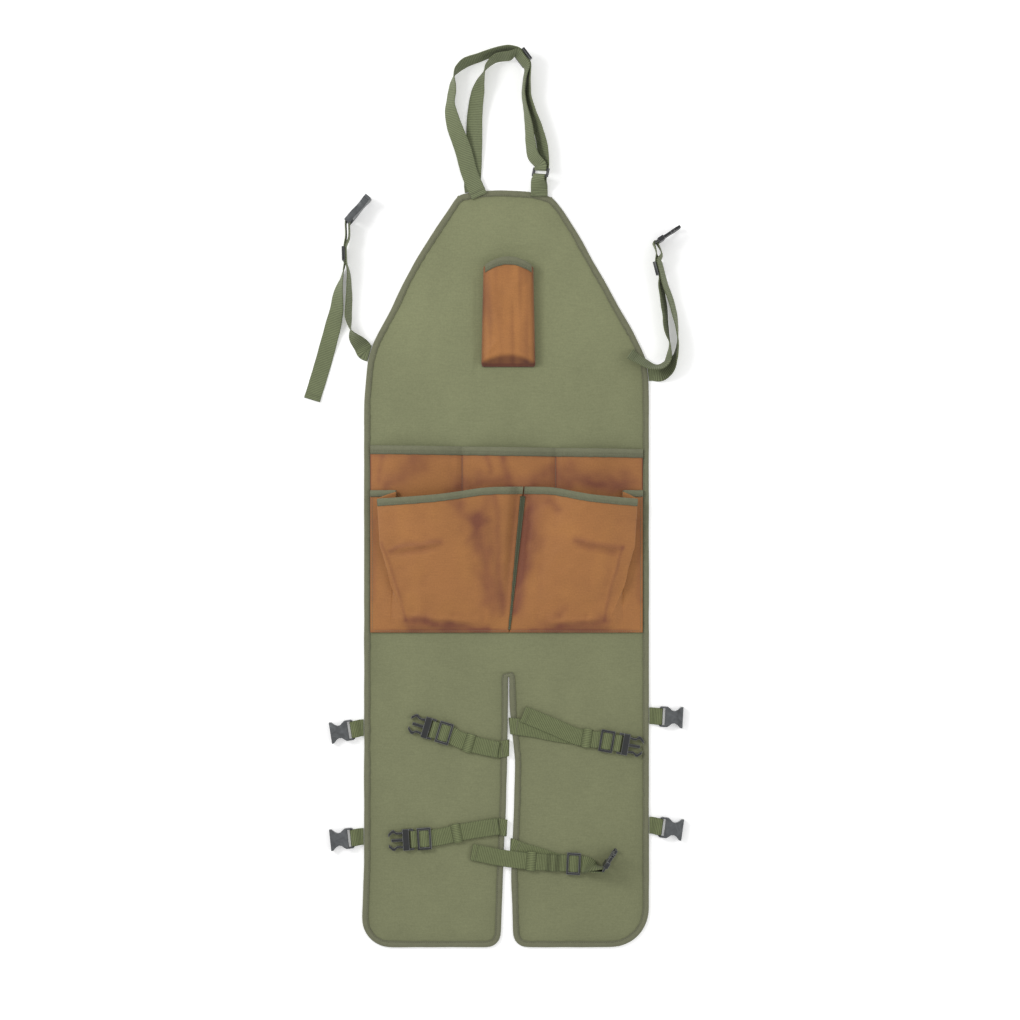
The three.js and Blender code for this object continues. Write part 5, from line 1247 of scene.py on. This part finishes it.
def keeper(name, place, layers):
    """Band of thin webbing round the strap's layers: its profile carried round a rectangle
    with round corners, whose half sizes follow from the layers that it holds."""
    half = WEBBING_WIDTH / 2 + 2 * GAP + KEEPER_THICKNESS / 2
    deep = (layers * WEBBING_THICKNESS + (layers - 1) * GAP) / 2 + GAP + KEEPER_THICKNESS / 2
    corner = min(1.2, deep * 0.8)
    turn = np.linspace(0.0, np.pi / 2, 5)
    path = np.concatenate([
        np.stack([sx * (half - corner) + corner * np.cos(turn + first),
                  sz * (deep - corner) + corner * np.sin(turn + first)], 1)
        for sx, sz, first in ((1, 1, 0.0), (-1, 1, np.pi / 2), (-1, -1, np.pi), (1, -1, 1.5 * np.pi))])
    path = resample(path, 1.0, closed=True)[0]
    ahead = np.roll(path, -1, 0) - np.roll(path, 1, 0)
    ahead /= np.linalg.norm(ahead, axis=1)[:, None]
    outward = np.stack([ahead[:, 1], -ahead[:, 0]], 1)

    def to_world(flat):
        flat = np.concatenate([flat, flat[:1]])
        return flat[:, None, :1] * place["across"] + flat[:, None, 1:] * place["out"]

    ring = KEEPER_PROFILE[::-1]
    grid = (place["point"] + to_world(path) + ring[:, 0][:, None] * place["travel"]
            + ring[:, 1][:, None] * to_world(outward))
    uv = band_uv(np.arange(len(grid)) * 1.0, distances(ring))
    piece = piece_from_grid(name + "_webbing", grid, uv, ring=True)
    # painted shade along both edges of the band and painted light on its middle
    paint_light_and_shade(piece, np.broadcast_to(0.55 * smooth(np.abs(ring[:, 0]), 5.0, 6.4) - 0.22, grid.shape[:2]))
    finish_piece(close_doubles(piece), LEG_WEBBING, "webbing", name)


def stub(name, sign, y, turn):
    """Doubled stub: from the edge round the female buckle's bar and back."""
    edge_x = side_point(y, sign)[0] + sign * 2 * GAP
    angle = math.radians(turn)
    heading = np.array([sign * math.cos(angle), math.sin(angle) * sign])
    reach = STUB_REACH + BAR_RADIUS
    bar = seat(edge_x + heading[0] * reach, y + heading[1] * reach, GAP + FEMALE_HEIGHT / 2, heading, 0.0)
    low = GAP + WEBBING_THICKNESS / 2
    feet = [stop_at((edge_x + sign * away, y, z), across=np.array([0.0, sign, 0.0]))
            for away, z in ((0.0, low), (4.0, low), (4.0, low + PAIR_GAP), (0.0, low + PAIR_GAP))]
    strap("leg_stub_webbing_" + name, [*feet[:2], *wrap(bar), *feet[2:]], LEG_WEBBING, 131,
          "leg_stub_" + name, ripple=0.0)


def leg_fold(start_y, sign):
    """Fold at the slit: up from under the edge and back over the leg, a flattened half turn."""
    column = 1 if sign < 0 else 2
    above, below = (slit_edge(start_y + off, column) for off in (WEBBING_WIDTH / 2, -WEBBING_WIDTH / 2))
    outward = unit(np.array([-sign * WEBBING_WIDTH, sign * (above - below), 0.0]))
    across = np.array([outward[1], -outward[0], 0.0])
    low = GAP + WEBBING_THICKNESS / 2
    radius = (LOWER_LAYER - low) / 2
    foot = np.array([(above + below) / 2, start_y, 0.0])
    route = [(2.5 * GAP, low)] + [
        (3.5 * GAP + 0.6 * radius * math.sin(a), low + radius - radius * math.cos(a))
        for a in np.linspace(0.0, np.pi, 8)]
    return [stop_at(foot + outward * away + UP * height, across=across, firm=True) for away, height in route]


def leg_strap(name, sign, start, reach, base, keeper_at, near, slider, bar, tail):
    """Strap of one leg, flat on the panel in two layers."""
    start_x = slit_edge(start, 1 if sign < 0 else 2)
    middle = (LOWER_LAYER + UPPER_LAYER) / 2

    def at(pair):
        return start_x + sign * pair[0] * reach, start + pair[1] * reach

    def flat(pairs, z, roll):
        return [stop_at((*at(pair), z), roll) for pair in pairs]

    heading = (sign * (bar[0] - slider[0]), bar[1] - slider[1])
    slider_seat = seat(*at(slider), middle, heading, 0.0)
    bar_seat = seat(*at(bar), KEEPER_BASE + GAP + MALE_HEIGHT / 2, heading, 0.0)
    strap("leg_strap_webbing_" + name, [
        *leg_fold(start, sign), *flat((*base, keeper_at, near), LOWER_LAYER, 0.0), *first_pass(slider_seat),
        *wrap(bar_seat, 1.5), *second_pass(slider_seat), *flat((near, keeper_at, *tail), UPPER_LAYER, 180.0)],
        LEG_WEBBING, 140 + len(name), "leg_strap_" + name, ripple=0.06, tail=0.25, hem=True)
    run = np.array(at(near)) - np.array(at(base[-1]))
    keeper("leg_keeper_" + name, seat(*at(keeper_at), middle, run, 0.0), 2)


for stub_name, row in STUB_ROWS.items():
    stub(stub_name, *row)
for leg_name, row in LEG_ROWS.items():
    leg_strap(leg_name, **row)

# The lower right strap twists on edge at its buckle, and its tail lies across the slit under
# a keeper of its own.
LR_START, LR_REACH = 151.0, 135.0
lr_x = slit_edge(LR_START, 2)
lr_middle = (LOWER_LAYER + UPPER_LAYER) / 2
lr_standing = KEEPER_BASE + GAP + 16.0
lr_tail = UPPER_LAYER + KEEPER_THICKNESS + GAP
# columns: away and up (shares of the reach), height, roll in degrees
LR_OUT = np.array([
    (0.12, -0.05, LOWER_LAYER, 0), (0.3, -0.1, LOWER_LAYER, 0), (0.48, -0.16, LOWER_LAYER, 0)])
LR_TWIST = np.array([(0.82, -0.2, lr_middle + 3.0, 25), (0.9, -0.22, lr_standing - 1.0, 70)])
LR_BACK = np.array([
    (0.535, -0.178, UPPER_LAYER, 180), (0.45, -0.173, UPPER_LAYER + 5.0, 180),
    (0.37, -0.17, UPPER_LAYER, 180), (0.29, -0.1645, lr_tail, 180), (0.13, -0.1515, lr_tail, 180),
    (-0.12, -0.12, UPPER_LAYER, 180), (-0.45, -0.055, UPPER_LAYER, 180)])


def lr_stops(rows, gap=None):
    """Stops of the lower right strap; with a gap the strap stands off its middle by it."""
    stops = [stop_at((lr_x + x * LR_REACH, LR_START + y * LR_REACH, z), roll) for x, y, z, roll in rows]
    if gap is not None:
        travel = np.array([1.0, -0.15, 0.0])
        for item in stops:
            item["across"] = roll_vector(travel, item["roll"])
            item["point"] = item["point"] + gap * np.cross(unit(travel), item["across"])
    return stops


lr_slider_seat = seat(lr_x + 0.68 * LR_REACH, LR_START - 0.185 * LR_REACH, lr_middle, (1.0, -0.05), 0.0)
lr_bar_seat = seat(lr_x + LR_REACH, LR_START - 0.24 * LR_REACH, lr_standing, (1.0, -0.1), 90.0)
strap("leg_strap_webbing_lower_right", [
    *leg_fold(LR_START, 1), *lr_stops(LR_OUT), *first_pass(lr_slider_seat),
    *lr_stops(LR_TWIST, -WRAP_RADIUS * 0.7), *wrap(lr_bar_seat), *lr_stops(LR_TWIST[::-1], WRAP_RADIUS * 0.7),
    *second_pass(lr_slider_seat), *lr_stops(LR_BACK)],
    LEG_WEBBING, 155, "leg_strap_lower_right", ripple=0.06, tail=0.2, hem=True)
lr_keeper_seat = seat(lr_x + 0.21 * LR_REACH, LR_START - 0.158 * LR_REACH, lr_tail, (1.0, -0.08), 0.0)
keeper("leg_keeper_lower_right", lr_keeper_seat, 1)

# ---------------------------------------------------------------- buckles, sliders and ring
# Moulded in dark nylon with rounded edges, a satin surface and faint flow marks. Each takes
# the form of its solid, with the corners broken and rounded.


def moulded_group():
    """Satin moulding: base * (1 + flow marks), roughness 0.30 to 0.46 with the same marks, and
    a fine grain as height."""
    tree, given, result = new_group("moulded_nylon", {
        "Vector": None, "Base": (0.02, 0.02, 0.02, 1.0), "Marks": 0.44}, ["Color", "Roughness", "Grain"])
    flow = noise(tree, given["Vector"], 90.0, 3.0, Distortion=1.2)
    marks = math_node(tree, "MULTIPLY", math_node(tree, "SUBTRACT", flow, 0.5), given["Marks"])
    tree.links.new(scaled(tree, given["Base"], math_node(tree, "ADD", 1.0, marks)), result["Color"])
    tree.links.new(math_node(tree, "ADD", 0.30, math_node(tree, "MULTIPLY", flow, 0.16)), result["Roughness"])
    tree.links.new(noise(tree, given["Vector"], 1600.0, 2.0), result["Grain"])
    return tree


MOULDED = moulded_group()


def nylon_material(name, color, marks=0.44):
    """Moulded nylon on Object coordinates, with flow marks of a strength."""
    made, tree, shader, where = new_material(name, "Object")
    inputs = {"Vector": where, "Base": (*color, 1.0), "Marks": marks}
    finish = add_node(tree, "Group", inputs, node_tree=MOULDED).outputs
    tree.links.new(finish["Color"], shader["Base Color"])
    tree.links.new(finish["Roughness"], shader["Roughness"])
    tree.links.new(bump(tree, finish["Grain"], 0.25, 0.0001), shader["Normal"])
    return made


# The dark nylon's rounded edges get a pale copy as a painted highlight. The female buckles get a lighter copy
# with strong flow marks as painted sheen and uneven painted shade, and a dark copy on their edges as painted
# shade.
NYLON = nylon_material("dark_nylon", (0.020, 0.021, 0.022))
NYLON_EDGE_HIGHLIGHT = nylon_material("dark_nylon_painted_highlight", (0.190, 0.194, 0.190))
SHEEN_NYLON = nylon_material("nylon_painted_sheen", (0.088, 0.094, 0.098), 1.5)
SHEEN_NYLON_EDGE_SHADE = nylon_material("nylon_painted_edge_shade", (0.026, 0.028, 0.030))


def rounded_copy(node, radius=0.5):
    """Copy of a moulded solid with its flat faces joined and its sharp edges rounded. The
    rounding has a material of its own: a pale painted highlight on the dark mouldings, painted shade on the
    female buckles' lighter copy."""
    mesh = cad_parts[node].data.copy()
    mesh.materials.clear()
    shape = bmesh.new()
    shape.from_mesh(mesh)
    bmesh.ops.remove_doubles(shape, verts=shape.verts, dist=0.000005)
    bmesh.ops.dissolve_limit(shape, angle_limit=math.radians(2.0), verts=shape.verts, edges=shape.edges)
    bmesh.ops.triangulate(shape, faces=[f for f in shape.faces if len(f.verts) > 4])
    shape.to_mesh(mesh)
    shape.free()
    mesh.shade_smooth()
    piece = bpy.data.objects.new(node + "_moulding", mesh)
    scene.collection.objects.link(piece)
    edges = piece.modifiers.new("rounded_edges", "BEVEL")
    edges.width = radius / 1000.0
    edges.segments = 3
    edges.limit_method = "ANGLE"
    edges.angle_limit = math.radians(30.0)
    edges.harden_normals = True
    edges.material = 1
    painted_sheen = "female" in node
    finish_piece(piece, SHEEN_NYLON if painted_sheen else NYLON, "plastic", node)
    mesh.materials.append(SHEEN_NYLON_EDGE_SHADE if painted_sheen else NYLON_EDGE_HIGHLIGHT)


for hardware in ("neck_slider", "neck_ring", "waist_slider_left", "waist_slider_right", "waist_buckle_female",
                 "waist_buckle_male"):
    rounded_copy(hardware)
for leg_name in STUB_ROWS:
    for kind in ("leg_buckle_female_", "leg_buckle_male_", "leg_slider_"):
        rounded_copy(kind + leg_name)

# ---------------------------------------------------------------- stitches
# Polyester thread, a little paler than the tape: one row along every binding and tape, rows
# round the pockets and down the dividers, and bars and hems on the straps. Each stitch is a
# small spindle that dips into the cloth at both ends.
THREAD = cloth_material("sewing_thread", (0.215, 0.222, 0.140), 0.00035, 0.00005, 0.8, 0.1, clouds=0.03)
STITCH_PITCH = 3.3


def stitch_frames(path, pitch=STITCH_PITCH):
    """Middles and unit ways of stitches an even pitch apart along a path."""
    points, at = resample(path, pitch)
    ahead = np.diff(points, axis=0)
    return (points[:-1] + points[1:]) / 2, ahead / np.linalg.norm(ahead, axis=1)[:, None]


def spindles(name, middles, ways, ups, length=2.5, radius=0.30):
    """Stitches as spindles: radius * sqrt(1 - s^2) round a line that rises by (1 - s^2) / 4 mm
    between its ends, for s from -1 to 1."""
    sides = np.cross(ups, ways)
    sides /= np.linalg.norm(sides, axis=1)[:, None]
    ups = np.cross(ways, sides)
    s = np.array([-1.0, -0.8, -0.3, 0.3, 0.8, 1.0])
    turn = np.arange(6) * np.pi / 3
    thick = radius * np.sqrt(np.maximum(1.0 - s ** 2, 0.02))
    across = thick[:, None] * np.cos(turn)
    rise = thick[:, None] * np.sin(turn) + 0.25 * (1.0 - s[:, None] ** 2)
    grid = (middles[:, None, None] + ways[:, None, None] * (s * length / 2)[None, :, None, None]
            + sides[:, None, None] * across[None, ..., None] + ups[:, None, None] * rise[None, ..., None])
    index = np.arange(36).reshape(6, 6)
    after = np.roll(index, -1, 1)
    walls = np.stack([index[:-1], after[:-1], after[1:], index[1:]], -1).reshape(-1, 4)
    caps = np.stack([index[0, ::-1], index[-1]])
    start = 36 * np.arange(len(middles))[:, None, None]
    faces = (walls + start).reshape(-1, 4).tolist() + (caps + start).reshape(-1, 6).tolist()
    piece = new_piece(name, grid, faces)
    piece.data.materials.append(THREAD)
    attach(piece, "root")


def joined(rows):
    """Stitches of several rows as one set of middles, ways and ups."""
    return [np.concatenate([row[k] for row in rows]) for k in range(3)]


def level_row(path, pitch=STITCH_PITCH):
    """Row of stitches along a path, on a face that points up."""
    middles, ways = stitch_frames(path, pitch)
    return middles, ways, np.broadcast_to(UP, middles.shape)


def tape_row(tape_frame, down=7.4, lift=1.95):
    """Row along a folded tape, at a distance down from its fold."""
    edge, inside, out = tape_frame
    middles, ways = stitch_frames(edge + inside * down + out * lift)
    ups = columns_at(np.linspace(0.0, 1.0, len(middles)), np.linspace(0.0, 1.0, len(out)), out)
    return middles, ways, ups


ring_path = np.concatenate([OUTLINE + inward_of(OUTLINE) * 7.35, 4.06 + 0.16 * binding_pucker[:, None]], 1)
spindles("edge_stitches", *level_row(np.concatenate([ring_path, ring_path[:1]])))

STITCH_RISE = 0.62
pocket_rows = [tape_row(tape_frame) for tape_frame in (REAR_TAPE_FRAME, *FRONT_TAPE_FRAMES)]
for side_name, sign in (("left", -1), ("right", 1)):
    cloth = FRONT_GRIDS[side_name]
    pocket_rows.append(level_row(cloth[2][4:-2] + UP * STITCH_RISE))
    near = cloth[:, :14] if sign < 0 else cloth[:, :-15:-1]
    pocket_rows.append(level_row(np.array([
        [sign * (POCKET_EDGE - 3.0), row[0, 1],
         np.interp(3.0, np.abs(row[:, 0] - row[0, 0]), row[:, 2]) + STITCH_RISE] for row in near[3:-2:3]])))
for seam in REAR_SEAMS[1:3]:
    y = np.linspace(680.0, 734.0, 20)
    z = np.maximum(rear_height(seam + 0.0 * y, y) - 0.6 * smooth(y, 660.0, 715.0), 3.75) + 0.66
    pocket_rows.append(level_row(np.stack([seam + 0.0 * y, y, z], 1)))
strip_share = np.linspace(0.02, 0.93, 60)
strip_x, strip_y = seam_place(strip_share), POCKET_BOTTOM + (FRONT_MOUTH - POCKET_BOTTOM) * strip_share
strip_z = rear_height(strip_x, strip_y) + 4.0 + TAPE_STEP * smooth(strip_share, 0.8, 0.94)
for way in (-1.0, 1.0):
    pocket_rows.append(level_row(np.stack([strip_x + way * (0.5 + 2.5 * strip_share), strip_y, strip_z], 1)))
pocket_rows.append(tape_row(CHEST_TAPE_FRAME))
spindles("pocket_stitches", *joined(pocket_rows))


def across_row(name, from_end, pitch=2.6, half=10.8, lift=0.86, along=False):
    """Row across both faces of a strap, at a distance from its end, or from its start where
    that is negative; along turns the stitches to the strap's way, as in a bar tack."""
    line, width, out, at = STRAP_LINES[name]
    k = int(np.argmin(np.abs(at - (at[-1] - from_end if from_end >= 0 else -from_end))))
    way = np.linspace(-half, half, int(2 * half / pitch) + 1)[:, None]
    rows = []
    for face in (-1.0, 1.0):
        middles = line[k] + width[k] * way + out[k] * face * lift
        middles = middles[middles[:, 2] > 0.6]
        ways = np.broadcast_to(np.cross(width[k], out[k]) if along else width[k], middles.shape)
        rows.append((middles, ways, np.broadcast_to(out[k] * face, middles.shape)))
    return joined(rows)


hem_rows = [across_row(name, 6.4, lift=1.45) for name in (
    "neck_strap_webbing", "waist_strap_webbing_left", "waist_strap_webbing_right",
    "leg_strap_webbing_upper_left", "leg_strap_webbing_upper_right", "leg_strap_webbing_lower_left",
    "leg_strap_webbing_lower_right")]
bar_rows = [across_row("leg_strap_webbing_" + name, -15.5, pitch=0.9, along=True, half=10.0)
            for name in STUB_ROWS]
box = np.array([(x + TAB_X, LENGTH - drop, TAB_LEVEL + PAIR_GAP + 0.86) for x, drop in (
    (-10.0, 8.5), (10.0, 8.5), (10.0, 1.0), (-10.0, 1.0), (-10.0, 8.5), (10.0, 1.0))])
tab_rows = [level_row(box[i:i + 2], 2.5) for i in range(5)]
spindles("strap_stitches", *joined(hem_rows + bar_rows + tab_rows), length=2.1, radius=0.28)
